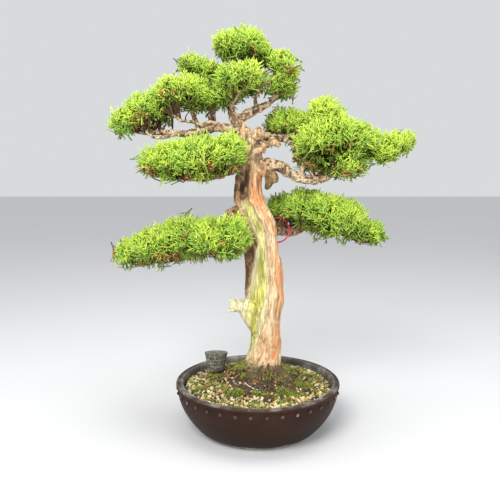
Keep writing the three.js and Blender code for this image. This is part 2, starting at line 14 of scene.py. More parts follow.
import bmesh
import bpy
import numpy as np
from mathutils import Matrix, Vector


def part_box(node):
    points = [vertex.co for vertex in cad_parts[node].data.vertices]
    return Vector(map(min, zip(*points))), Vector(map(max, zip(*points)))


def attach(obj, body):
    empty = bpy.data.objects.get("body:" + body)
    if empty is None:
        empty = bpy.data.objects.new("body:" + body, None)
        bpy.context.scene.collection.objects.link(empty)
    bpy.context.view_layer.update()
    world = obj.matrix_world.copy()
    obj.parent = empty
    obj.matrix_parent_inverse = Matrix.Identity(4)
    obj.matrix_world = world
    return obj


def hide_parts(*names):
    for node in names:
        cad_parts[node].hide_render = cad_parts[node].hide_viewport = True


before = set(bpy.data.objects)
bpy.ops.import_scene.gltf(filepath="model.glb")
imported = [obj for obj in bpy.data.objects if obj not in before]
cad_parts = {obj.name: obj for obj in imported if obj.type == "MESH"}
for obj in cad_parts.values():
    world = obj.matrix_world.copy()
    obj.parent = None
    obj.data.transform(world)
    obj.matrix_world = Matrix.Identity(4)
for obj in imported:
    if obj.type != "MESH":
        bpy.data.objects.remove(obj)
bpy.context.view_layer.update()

print("CAD nodes:", len(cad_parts))

# %% [markdown]
# ## Where things are
#
# Plants and pots are easiest to think of in millimetres from the pot's own axis. The pot's box
# gives that axis in the frame, so one small function turns our millimetres into Blender's metres.

# %% Millimetres from the pot's axis
pot_low, pot_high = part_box("pot")
AXIS = np.array([(pot_low.x + pot_high.x) / 2, (pot_low.y + pot_high.y) / 2, 0.0])
RIM_TOP = pot_high.z * 1000
RIM_RADIUS = (pot_high.x - pot_low.x) * 500


def metres(points):
    return np.asarray(points, float) / 1000 + AXIS


print("pot axis at", AXIS.round(4), "rim radius", round(RIM_RADIUS, 1), "rim top",
      round(RIM_TOP, 1))

# %% [markdown]
# ## Camera, floor and light
#
# The camera comes first, so that every later cell can be looked at on its own. It stands a little
# above the pads and looks slightly down. A big soft panel stands in front and to the left, a
# weaker one hangs overhead, and a third fills in from the right, which is how a plant is shown in
# a studio: soft shadows under the pads, and no hard edges.

# %% Camera and studio
LENS, SENSOR = 40, 36
CAMERA_RIGHT, CAMERA_FORWARD, CAMERA_HEIGHT = -0.0119, -0.8304, 0.3692
CAMERA_DOWN = 6.55
LIT_AROUND = 0.3
scene = bpy.context.scene
scene.view_settings.view_transform = "Standard"

camera = bpy.data.objects.new("camera", bpy.data.cameras.new("camera"))
scene.collection.objects.link(camera)
camera.data.lens = LENS
camera.data.sensor_width = SENSOR
camera.location = (AXIS[0] + CAMERA_RIGHT, AXIS[1] + CAMERA_FORWARD, CAMERA_HEIGHT)
camera.rotation_euler = (math.radians(90 - CAMERA_DOWN), 0, 0)
camera.data.clip_start = 0.01
camera.data.clip_end = 20
scene.camera = camera

world = bpy.data.worlds.new("studio")
scene.world = world
world.use_nodes = True
world.node_tree.nodes["Background"].inputs["Color"].default_value = (0.86, 0.88, 0.9, 1)
world.node_tree.nodes["Background"].inputs["Strength"].default_value = 0.80


def panel(name, place, size, watts, colour):
    lamp = bpy.data.lights.new(name, "AREA")
    lamp.shape = "DISK"
    lamp.size = size
    lamp.energy = watts
    lamp.color = colour
    obj = bpy.data.objects.new(name, lamp)
    scene.collection.objects.link(obj)
    obj.location = place
    aim = np.array([0, 0, LIT_AROUND]) - np.array(place)
    obj.rotation_euler = (math.acos(-aim[2] / np.linalg.norm(aim)), 0,
                          math.atan2(aim[1], aim[0]) + math.pi / 2 + math.pi)
    return obj


panel("light_key", (-0.45, -1.2, 1.30), 0.8, 22, (1, 0.985, 0.955))
panel("light_top", (0.1, -0.1, 1.65), 1.0, 9, (1, 0.99, 0.97))
panel("light_right", (1.4, -0.9, 0.7), 0.9, 6, (0.96, 0.98, 1))
print("camera at", tuple(round(v, 4) for v in camera.location))

# %% [markdown]
# ## Writing shader maths as plain expressions
#
# Node materials are much easier to read as formulas. `Value` wraps one output socket and knows how
# to add, multiply and mix. Each operator makes the right node. Numbers that don't vary stay
# numbers until they meet a socket.

# %% The socket wrapper
class Value:
    """One shader socket. Arithmetic on it makes Math nodes."""

    def __init__(self, tree, socket):
        self.tree = tree
        self.socket = socket

    def math(self, operation, *others):
        values = [self, *others]
        return self.tree.node("ShaderNodeMath", {"operation": operation}, dict(enumerate(values)))

    def __add__(self, other):
        return self.math("ADD", other)

    def __radd__(self, other):
        return self.math("ADD", other)

    def __sub__(self, other):
        return self.math("SUBTRACT", other)

    def __rsub__(self, other):
        flipped = {0: other, 1: self}
        return self.tree.node("ShaderNodeMath", {"operation": "SUBTRACT"}, flipped)

    def __mul__(self, other):
        return self.math("MULTIPLY", other)

    def __rmul__(self, other):
        return self.math("MULTIPLY", other)

    def __truediv__(self, other):
        return self.math("DIVIDE", other)

    def clamp(self):
        return self.tree.node("ShaderNodeMath", {"operation": "ADD", "use_clamp": True},
                              {0: self, 1: 0.0})

    def rise(self, low, high):
        """0 below low, 1 above high, smooth between."""
        links = {"Value": self, "From Min": low, "From Max": high}
        return self.tree.node("ShaderNodeMapRange", {"interpolation_type": "SMOOTHSTEP"}, links)

    def between(self, first, second):
        """A colour that goes from first to second as this value goes from 0 to 1."""
        links = {"Factor": self, 6: first, 7: second}
        return self.tree.node("ShaderNodeMix", {"data_type": "RGBA"}, links, output=2)


class Look:
    """A material whose nodes are made by expressions."""

    def __init__(self, name):
        self.material = bpy.data.materials.new(name)
        self.material.use_nodes = True
        self.nodes = self.material.node_tree.nodes
        self.links = self.material.node_tree.links
        self.surface = self.nodes["Principled BSDF"]

    def node(self, kind, settings=None, values=None, output=0):
        made = self.nodes.new(kind)
        for name, setting in (settings or {}).items():
            setattr(made, name, setting)
        for key, value in (values or {}).items():
            self.feed(made.inputs[key], value)
        return Value(self, made.outputs[output])

    def feed(self, socket, value):
        if isinstance(value, Value):
            self.links.new(value.socket, socket)
        elif isinstance(value, tuple) and socket.type == "RGBA":
            socket.default_value = (*value, 1) if len(value) == 3 else value
        else:
            socket.default_value = value

    def place(self):
        return self.node("ShaderNodeTexCoord", output="Object")

    def mask(self, name):
        return self.node("ShaderNodeAttribute", {"attribute_name": name}, output="Fac")

    def noise(self, scale, detail=3.0, stretch=None, rough=0.55):
        where = self.place()
        if stretch:
            settings = {"operation": "MULTIPLY"}
            where = self.node("ShaderNodeVectorMath", settings, {0: where, 1: stretch})
        values = {"Vector": where, "Scale": scale, "Detail": detail, "Roughness": rough}
        return self.node("ShaderNodeTexNoise", values=values)

    def grains(self, scale, output="Distance"):
        return self.node("ShaderNodeTexVoronoi", values={"Vector": self.place(), "Scale": scale},
                         output=output)

    def bump(self, height, distance, strength=1.0):
        values = {"Height": height, "Distance": distance, "Strength": strength}
        return self.node("ShaderNodeBump", values=values)

    def finish(self, **inputs):
        for name, value in inputs.items():
            self.feed(self.surface.inputs[name.replace("_", " ")], value)
        return self.material


print("shader helpers ready")

# %% [markdown]
# ## From arrays to meshes
#
# Everything here is grown with numpy arrays and handed to Blender in one go, which is far quicker
# than making faces one by one. `piece` also does the book-keeping that each piece needs: it rides
# on the plant's one body, and it hides the CAD nodes that it stands in for.

# %% Mesh and piece helpers
def mesh_object(name, points, faces, material, uv=None, masks=None, smooth=True):
    """points in mm; faces is a list of (n, 3) or (n, 4) index arrays; uv and masks go by point."""
    faces = [np.asarray(f, np.int32) for f in faces if len(f)]
    corners = np.concatenate([f.ravel() for f in faces])
    sizes = np.concatenate([np.full(len(f), f.shape[1], np.int32) for f in faces])
    mesh = bpy.data.meshes.new(name)
    mesh.vertices.add(len(points))
    mesh.vertices.foreach_set("co", metres(points).astype(np.float32).ravel())
    mesh.loops.add(len(corners))
    mesh.loops.foreach_set("vertex_index", corners)
    mesh.polygons.add(len(sizes))
    mesh.polygons.foreach_set("loop_start",
                              np.concatenate([[0], np.cumsum(sizes)[:-1]]).astype(np.int32))
    mesh.polygons.foreach_set("use_smooth", np.full(len(sizes), smooth))
    if uv is not None:
        layer = mesh.uv_layers.new(name="OFBake")
        layer.data.foreach_set("uv", np.asarray(uv, np.float32)[corners].ravel())
    for key, values in (masks or {}).items():
        attribute = mesh.attributes.new(key, "FLOAT", "POINT")
        attribute.data.foreach_set("value", np.asarray(values, np.float32))
    mesh.update(calc_edges=True)
    mesh.validate()
    obj = bpy.data.objects.new(name, mesh)
    scene.collection.objects.link(obj)
    mesh.materials.append(material)
    return obj


def piece(obj, slot, *nodes):
    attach(obj, "root")
    if nodes:
        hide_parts(*nodes)
    return obj


def read_points(obj):
    flat = np.zeros(len(obj.data.vertices) * 3)
    obj.data.vertices.foreach_get("co", flat)
    return (flat.reshape(-1, 3) - AXIS) * 1000


def write_points(obj, points):
    obj.data.vertices.foreach_set("co", metres(points).astype(np.float32).ravel())
    obj.data.update()


def read_normals(obj):
    flat = np.zeros(len(obj.data.vertices) * 3, np.float32)
    obj.data.vertex_normals.foreach_get("vector", flat)
    return flat.reshape(-1, 3).astype(float)


def apply_modifiers(obj):
    bpy.context.view_layer.objects.active = obj
    for modifier in list(obj.modifiers):
        bpy.ops.object.modifier_apply(modifier=modifier.name)


def unit(vectors):
    return vectors / np.maximum(np.linalg.norm(vectors, axis=-1, keepdims=True), 1e-9)


print("mesh helpers ready")

# %% [markdown]
# ## Noise in numpy
#
# Bark ridges, lumpy clay and uneven soil all come from the same idea: smooth random values on a
# lattice, added at several sizes. The lattice values come from whole-number hashing, so the same
# seed always grows the same plant.

# %% Value noise
HASH_X, HASH_Y, HASH_Z, HASH_SEED = 73856093, 19349663, 83492791, 2654435
HASH_STIR, HASH_MASK, SHADES = 1274126177, 0x7FFFFFFF, 0xFFFF


def lattice(cell, seed):
    mixed = (cell[..., 0] * HASH_X ^ cell[..., 1] * HASH_Y ^ cell[..., 2] * HASH_Z
             ^ seed * HASH_SEED)
    mixed = (mixed ^ (mixed >> 13)) * HASH_STIR & HASH_MASK
    return ((mixed ^ (mixed >> 15)) & SHADES) / SHADES


def value_noise(points, seed=0):
    """Smooth noise, -1 to 1, with features about one unit apart."""
    points = np.asarray(points, float)
    base = np.floor(points).astype(np.int64)
    part = points - base
    part = part * part * (3 - 2 * part)
    total = np.zeros(points.shape[:-1])
    for corner in range(8):
        step = np.array([corner & 1, corner >> 1 & 1, corner >> 2 & 1])
        weight = np.prod(np.where(step, part, 1 - part), axis=-1)
        total += weight * lattice(base + step, seed)
    return total * 2 - 1


def fractal(points, octaves=3, seed=0):
    points = np.asarray(points, float)
    total = sum(value_noise(points * 2 ** n + 17.3 * n, seed + n) / 2 ** n for n in range(octaves))
    return total / (2 - 2 ** (1 - octaves))


def rise(values, low, high):
    part = np.clip((values - low) / (high - low), 0, 1)
    return part * part * (3 - 2 * part)


print("noise range",
      value_noise(np.random.default_rng(1).uniform(0, 50, (2000, 3))).round(2).min())

# %% [markdown]
# ## Tubes
#
# A limb, a twig, a wire and a leaf shoot are all tubes along a path. `spline` rounds off the
# corners of a few stations, `tube` sweeps a ring along one path, and `many_tubes` sweeps thousands
# of short paths of equal length in one numpy step.

# %% Tubes along paths
def spline(stations, per=6):
    """A smooth path through stations; every column, radius included, is smoothed alike."""
    stations = np.asarray(stations, float)
    ends = [2 * stations[0] - stations[1], 2 * stations[-1] - stations[-2]]
    padded = np.vstack([ends[0], stations, ends[1]])
    path = []
    for n in range(len(stations) - 1):
        a, b, c, d = padded[n:n + 4]
        for t in np.arange(per) / per:
            path.append(0.5 * (2 * b + (c - a) * t + (2 * a - 5 * b + 4 * c - d) * t ** 2
                               + (3 * b - a - 3 * c + d) * t ** 3))
    path.append(stations[-1])
    return np.array(path)


def ring_frames(path):
    """Two sideways unit vectors at each point, carried along the path without twisting."""
    along = unit(np.gradient(path, axis=0))
    side = np.cross(along[0], [0.3, 0.9, 0.2] if abs(along[0][1]) < 0.8 else [1, 0, 0])
    sides = []
    for direction in along:
        side = unit(side - direction * side.dot(direction))
        sides.append(side)
    sides = np.array(sides)
    return sides, np.cross(along, sides)


def tube(path, radii, count):
    """Points, quads and end triangles of one closed tube."""
    sides, ups = ring_frames(path)
    turn = np.arange(count) * 2 * np.pi / count
    offset = (sides[:, None] * np.cos(turn)[None, :, None]
              + ups[:, None] * np.sin(turn)[None, :, None])
    rings = path[:, None] + offset * np.asarray(radii)[:, None, None]
    points = np.vstack([rings.reshape(-1, 3), path[:1], path[-1:]])
    quads, ends = grid_faces(len(path), count)
    return points, quads, ends


def grid_faces(levels, count):
    level, step = np.meshgrid(np.arange(levels - 1), np.arange(count), indexing="ij")
    a = level * count + step
    b = level * count + (step + 1) % count
    quads = np.stack([a, b, b + count, a + count], -1).reshape(-1, 4)
    step = np.arange(count)
    after = (step + 1) % count
    top = (levels - 1) * count
    first = np.stack([after, step, np.full(count, levels * count)], -1)
    last = np.stack([top + step, top + after, np.full(count, levels * count + 1)], -1)
    return quads, np.vstack([first, last])


def many_tubes(paths, radii, count):
    """paths (n, k, 3) and radii (n, k) to points, quads and tip faces; the base stays open."""
    n, k = radii.shape
    along = unit(np.gradient(paths, axis=1))
    lean = unit(paths[:, -1] - paths[:, 0])
    spare = np.where(np.abs(lean[:, 2:]) < 0.8, [[0.0, 0.0, 1.0]], [[1.0, 0.0, 0.0]])
    sides = unit(np.cross(along, spare[:, None]))
    ups = np.cross(along, sides)
    turn = np.arange(count) * 2 * np.pi / count
    offset = (sides[:, :, None] * np.cos(turn)[None, None, :, None]
              + ups[:, :, None] * np.sin(turn)[None, None, :, None])
    points = (paths[:, :, None] + offset * radii[:, :, None, None]).reshape(-1, 3)
    level, step = np.meshgrid(np.arange(k - 1), np.arange(count), indexing="ij")
    a = level * count + step
    b = level * count + (step + 1) % count
    block = np.stack([a, b, b + count, a + count], -1).reshape(-1, 4)
    start = (np.arange(n) * k * count)[:, None, None]
    quads = (block[None] + start).reshape(-1, 4)
    tips = ((k - 1) * count + np.arange(count))[None] + (np.arange(n) * k * count)[:, None]
    return points, quads, tips


print("a test tube has", len(tube(spline([[0, 0, 0], [0, 0, 9], [3, 0, 15]]), np.ones(13), 8)[1]),
      "quads")

# %% [markdown]
# ## The bowl
#
# The bowl is thrown clay, so it is a lathe shape: one profile, turned about the axis. The profile
# rounds the lip, cuts a fine groove in it, and runs down inside as far as the floor. Afterwards
# four low arches are pushed up into the foot ring, holes are cut in the floor for water and wire,
# and a row of round studs is pressed on below the lip.

# %% Clay look
def clay_look():
    look = Look("clay")
    speck = look.noise(900, 2)
    cloud = look.noise(26, 4)
    height = look.mask("height")
    wear_and_stud_highlight = look.mask("wear_and_stud_highlight")
    inside = look.mask("inside")
    body = cloud.rise(0.3, 0.72).between((0.027, 0.0112, 0.0062), (0.049, 0.0218, 0.0128))
    body = (height * 0.75).clamp().between((0.023, 0.0120, 0.0080), body)
    body = (speck.rise(0.64, 0.76) * 0.35).between(body, (0.22, 0.17, 0.14))
    stain = look.noise(60, 5).rise(0.42, 0.7)
    pale = stain.between((0.125, 0.098, 0.08), (0.34, 0.295, 0.25))
    # pale on the worn lip top, and a painted highlight on the studs
    body = (wear_and_stud_highlight * (0.45 + 0.55 * stain)).clamp().between(body, pale)
    body = (inside * 0.8).clamp().between(body,
                                          stain.between((0.13, 0.125, 0.112),
                                                        (0.32, 0.315, 0.285)))
    body = (look.mask("dust") * (0.5 + 0.5 * stain)).clamp().between(body, (0.60, 0.56, 0.49))
    rough = (0.46 + 0.22 * cloud + 0.15 * wear_and_stud_highlight).clamp()
    bump = look.bump(look.noise(420, 3) + 0.5 * look.noise(90, 3), 0.0006, 0.5)
    return look.finish(Base_Color=body, Roughness=rough, Normal=bump, Specular_IOR_Level=0.12)


CLAY = clay_look()

# %% Bowl shape
POT_TOP = RIM_TOP
FOOT = 87.0


def wall_radius(z):
    """Outside of the bowl between the foot and the lip."""
    part = np.clip((np.asarray(z, float) - 2) / (POT_TOP - 9), 0, 1)
    return FOOT + (123 - FOOT) * np.sin(part * np.pi / 2) ** 0.8


def bowl_profile():
    """(radius, height) from the middle of the underside, up the outside, down the inside."""
    outside = [(float(wall_radius(z)), z)
               for z in (3, 4.5, 6.5, 9, 12, 16, 21, 27, 34, 42, 50, 57, 63, 67)]
    lip = [(123.3, 67.9), (124.2, 68.5), (124.8, 69.4), (125, 70.6), (124.9, 71.8), (124.4, 72.9),
           (123.3, 73.6), (121.8, 73.9), (120.6, 74), (120.2, 73.45), (119.7, 73.45),
           (119.3, 73.9),
           (117.6, 73.9), (115.8, 73.8), (114.6, 73.2), (113.9, 72), (113.5, 69)]
    inside = [(float(wall_radius(z)) - 8.5, z) for z in (60, 50, 40, 30, 22)]
    base = [(2, 6), (40, 6), (74, 6), (77.2, 5.6), (78.2, 4.6), (78.6, 1.2), (79.4, 0.3), (81, 0),
            (84.5, 0), (86, 0.4), (86.8, 1.5)]
    floor = [(92, 15.5), (84, 14), (40, 14), (2, 14)]
    return np.array(base + outside + lip + inside + floor)


def build_bowl(sides=224):
    profile = bowl_profile()
    turn = np.arange(sides) * 2 * np.pi / sides
    r = profile[:, 0][:, None] + np.zeros(sides)
    z = profile[:, 1][:, None] + np.zeros(sides)
    # arches between the four feet
    off = np.abs(np.degrees(turn)[None] % 90 - 45)
    arch = 3.6 * np.sqrt(np.clip(1 - (off / 13.0) ** 2, 0, 1))
    ring = (r > 77.9) & (r < 87.2) & (z < 3.1)
    z = np.where(ring & (z < arch), arch, z)
    wobble = fractal(np.stack([np.cos(turn) * 2.2, np.sin(turn) * 2.2, turn * 0], -1), 2, 5)
    r = r + 0.3 * wobble * (r > 60) * (r < 123.2)
    points = np.stack([r * np.cos(turn), r * np.sin(turn), z], -1).reshape(-1, 3)
    levels = len(profile)
    middle = np.array([[0, 0, 6.0], [0, 0, 14.0]])
    quads, ends = grid_faces(levels, sides)
    return np.vstack([points, middle]), quads, ends, levels


bowl_points, bowl_quads, bowl_ends, _ = build_bowl()
pot = mesh_object("bowl", bowl_points, [bowl_quads, bowl_ends], CLAY)


def cutter(x, y, radius):
    points, quads, ends = tube(np.array([[x, y, -4.0], [x, y, 24.0]]), [radius, radius], 40)
    return mesh_object("cutter", points, [quads, ends], CLAY)


drains = [(46 * math.cos(math.radians(90 + 120 * n)), 46 * math.sin(math.radians(90 + 120 * n)),
           11.0)
          for n in range(3)]
for x, y, radius in [*drains, (-30, 0, 2.6), (30, 0, 2.6)]:
    tool = cutter(x, y, radius)
    cut = pot.modifiers.new("cut", "BOOLEAN")
    cut.operation = "DIFFERENCE"
    cut.object = tool
    apply_modifiers(pot)
    bpy.data.objects.remove(tool)

# %% [markdown]
# The studs are half-round pips. Each is a small dome whose flat side is sunk in the wall. They are
# joined to the bowl, because in the kiln they become one piece of clay.

# %% Studs and clay masks
def dome(radius, rings=7, count=18):
    rise_by = np.linspace(0.0, 1.0, rings) ** 0.8
    angle = rise_by * np.pi / 2 * 0.97
    out = np.concatenate([[1.12], np.cos(angle)]) * radius
    up = np.concatenate([[-0.35], np.sin(angle)]) * radius
    turn = np.arange(count) * 2 * np.pi / count
    points = np.stack([out[:, None] * np.cos(turn), out[:, None] * np.sin(turn),
                       up[:, None] + 0 * turn], -1).reshape(-1, 3)
    points = np.vstack([points, [[0, 0, -0.35 * radius]], [[0, 0, radius * 1.0]]])
    quads, ends = grid_faces(len(out), count)
    return points, quads, ends


def build_studs():
    shape, quads, ends = dome(2.95)
    all_points, all_quads, all_ends = [], [], []
    height = POT_TOP - 11.5
    for n in range(36):
        turn = math.radians(5 + 10 * n)
        out = np.array([math.cos(turn), math.sin(turn), 0.0])
        side = np.array([-math.sin(turn), math.cos(turn), 0.0])
        centre = out * (float(wall_radius(height)) - 0.5) + [0, 0, height]
        size = 1 + 0.06 * math.sin(n * 2.3)
        all_points.append(centre
                          + size * (shape[:, :1] * side + shape[:, 1:2] * [0, 0, 1]
                                    + shape[:, 2:] * out))
        all_quads.append(quads + n * len(shape))
        all_ends.append(ends + n * len(shape))
    return np.vstack(all_points), np.vstack(all_quads), np.vstack(all_ends)


stud_points, stud_quads, stud_ends = build_studs()
studs = mesh_object("studs", stud_points, [stud_quads, stud_ends], CLAY)
bpy.ops.object.select_all(action="DESELECT")
studs.select_set(True)
pot.select_set(True)
bpy.context.view_layer.objects.active = pot
bpy.ops.object.join()
pot.data.polygons.foreach_set("use_smooth", np.full(len(pot.data.polygons), True))
pot.data.set_sharp_from_angle(angle=math.radians(42))

spots = read_points(pot)
out = np.hypot(spots[:, 0], spots[:, 1])
speckle = fractal(spots / 9.0, 3, 31)
wear_and_stud_highlight = rise(spots[:, 2], 71.5, 73.8) * (0.75 + 0.35 * speckle) * (out > 112)
dust = rise(-spots[:, 2] + 2 * speckle, -7, -3.5) * (out > 82)
inner = ((out < wall_radius(spots[:, 2]) - 5) & (spots[:, 2] > 10)).astype(float)
# painted highlight: the studs join this mask, so they are painted pale like the worn lip top
bumps = (out > wall_radius(spots[:, 2]) + 0.7) & (np.abs(spots[:, 2] - 62.5) < 3.4)
wear_and_stud_highlight = np.maximum(wear_and_stud_highlight, 0.9 * bumps)
for key, values in (("height", rise(spots[:, 2], 0, 62)), ("wear_and_stud_highlight", wear_and_stud_highlight), ("inside", inner),
                    ("dust", dust)):
    pot.data.attributes.new(key, "FLOAT", "POINT").data.foreach_set("value",
                                                                    values.astype(np.float32))
piece(pot, "clay", "pot")
print("bowl:", len(pot.data.polygons), "faces with", 36, "studs")

# %% [markdown]
# ## The trunk
#
# The trunk of an old juniper is part live bark and part bare dead wood. We build its body in three
# moves. First come plain tubes: one for the stem, one for each surface root, one for each broken
# stub. Then a voxel remesh melts them into one skin, as wood does where a branch leaves it. Last,
# ridges are pushed in and out of that skin along the grain.
#
# The grain has to follow the dead strip as it winds up the stem, so everything is measured from
# the strip: `strip_edges` gives its left and right border at each height.

# %% Trunk skeleton
STEM = [  # height, centre x, centre y, half width, half depth
    (58, 7, 2, 27, 24), (76, 6, 1, 33, 28), (90, 6.5, 0, 31, 27), (100, 7, 0, 28.5, 25),
    (112, 9, 0, 26, 22), (128, 11, 0, 24, 20), (151, 10.5, 0, 23.5, 19.5),
    (174, 9.5, 0, 26.5, 20.5), (197, 10.5, 0, 30, 21.5), (213, 9.5, 0, 29.5, 21.5),
    (236, 9.5, 0, 28.5, 21), (256, 8.5, 0, 28, 20.5), (274, 5, 0, 26, 20), (289, 4, 0, 25, 19.5),
    (304, 3, 0, 25, 19), (319, 0, 0, 25.5, 18.5), (334, -6.5, 0, 23.5, 17.5),
    (349, -11, 0, 20, 16), (364, -12, 0, 17, 14.5), (378, -11.5, 0, 15.5, 13.5),
    (400, -9, 0, 17, 14), (415, -10, 0, 16, 13.5), (429, -11.5, 0, 15, 12.5),
    (444, -19.5, 0, 12.5, 11), (455, -26.5, 0, 11, 10), (466, -33, 0, 9.5, 8.5),
    (476, -37, 0, 6.5, 6.5), (482, -38.5, 0, 5.2, 5.2),
]
STUBS = {
    "flare": [(-2, -8, 146, 9), (-6, -12, 162, 11), (-14, -13, 176, 11), (-24, -13, 187, 8)],
    "low_snag": [(2, -10, 186, 15), (-12, -12, 190, 13), (-24, -13, 191, 11), (-34, -13, 191, 8),
                 (-42, -13, 191, 4.5)],
    "upper_prong": [(-24, -13, 195, 6), (-33, -13, 197, 4.6), (-41, -13, 200, 2.6),
                    (-45, -13, 203, 1.3)],
    "lower_prong": [(-24, -13, 188, 7), (-32, -13, 187, 5.6), (-40, -13, 185, 3.8),
                    (-47, -13, 180, 1.4)],
    "cut_stub": [(-4, -2, 420, 8), (6, -4, 425, 6.5), (15, -5, 431, 5), (25, -6, 432, 4.4),
                 (32, -6, 428, 4.2)],
    "mossy_knob": [(-2, -6, 396, 9), (8, -9, 393, 8), (17, -11, 387, 8), (23, -12, 381, 7),
                   (24, -12, 374, 5)],
    "knob_end": [(17, -11, 385, 6), (17, -12, 377, 5.5), (15, -12, 370, 4.5), (14, -12, 365, 2.5)],
    "side_snag": [(-18, -4, 344, 12), (-28, -6, 352, 9), (-30, -6, 366, 7), (-28, -6, 380, 6),
                  (-22, -3, 392, 6)],
    "burr": [(-10, -2, 436, 9), (-2, -6, 442, 9.5), (2, -7, 449, 7.5), (3, -7, 453, 4)],
    "root_knob": [(-6, -14, 96, 11), (-8, -27, 90, 11), (-8, -37, 83, 9), (-8, -44, 76, 6)],
}


def root_courses():
    courses = []
    for n, heading in enumerate((-158, -122, -92, -52, -14, 38, 92, 148)):
        course = []
        for stop, (out, z, radius) in enumerate(((10, 96, 12.5), (27, 88, 10), (44, 77, 7),
                                                 (60, 63, 4))):
            turn = math.radians(heading + stop * (5 if n % 2 else -4))
            course.append((out * math.cos(turn) + 6, out * math.sin(turn), z, radius - n % 3))
        courses.append(course)
    return courses


def build_stem(sides=72):
    rows = spline(STEM, 5)
    turn = np.arange(sides) * 2 * np.pi / sides
    points = np.stack([rows[:, 1:2] + rows[:, 3:4] * np.cos(turn),
                       rows[:, 2:3] + rows[:, 4:5] * np.sin(turn),
                       rows[:, :1] + 0 * turn], -1).reshape(-1, 3)
    quads, ends = grid_faces(len(rows), sides)
    caps = np.array([rows[0, [1, 2, 0]], rows[-1, [1, 2, 0]]])
    return np.vstack([points, caps]), quads, ends


def melt(name, parts, material, voxel, rounds=2):
    """Joins overlapping closed shapes into one skin."""
    points, quads, ends, start = [], [], [], 0
    for shape, faces, caps in parts:
        points.append(shape)
        quads.append(faces + start)
        ends.append(caps + start)
        start += len(shape)
    obj = mesh_object(name, np.vstack(points), [np.vstack(quads), np.vstack(ends)], material)
    skin = obj.modifiers.new("skin", "REMESH")
    skin.mode = "VOXEL"
    skin.voxel_size = voxel / 1000
    skin.use_smooth_shade = True
    relax = obj.modifiers.new("relax", "SMOOTH")
    relax.factor = 0.5
    relax.iterations = rounds
    apply_modifiers(obj)
    return obj


STRIP = np.array([  # height, left edge, right edge of the bare strip on the front
    (96, -30, -17), (108, -27, -14), (126, -21, -5.5), (143, -20, 1), (160, -21, 7),
    (176, -24, 10), (193, -22, 14), (209, -15, 16), (225, -11.5, 17), (241, -9.5, 17),
    (258, -6.5, 14.5), (274, -4, 13.5), (286, 0, 11.5), (301, -3, 11), (316, -10.5, 5),
    (331, -19, -4), (343, -25, -11), (352, -26, -17),
])


def strip_edges(z):
    return np.interp(z, STRIP[:, 0], STRIP[:, 1]), np.interp(z, STRIP[:, 0], STRIP[:, 2])


print("stem rows:", len(STEM), "roots:", len(root_courses()))

# %% [markdown]
# Bark relief is drawn by masks. `dead` marks the bare strip and the snag with its prongs, and
# everything else is bark. Bark stands proud of the strip and rolls over at its border, and it is
# split by long cracks. The bare wood has fine straight grooves. Colour uses the same masks, so the
# looks and the shape agree: the recesses of the relief are painted dark as shade, and on the
# branches the raised lumps are painted pale as highlight.

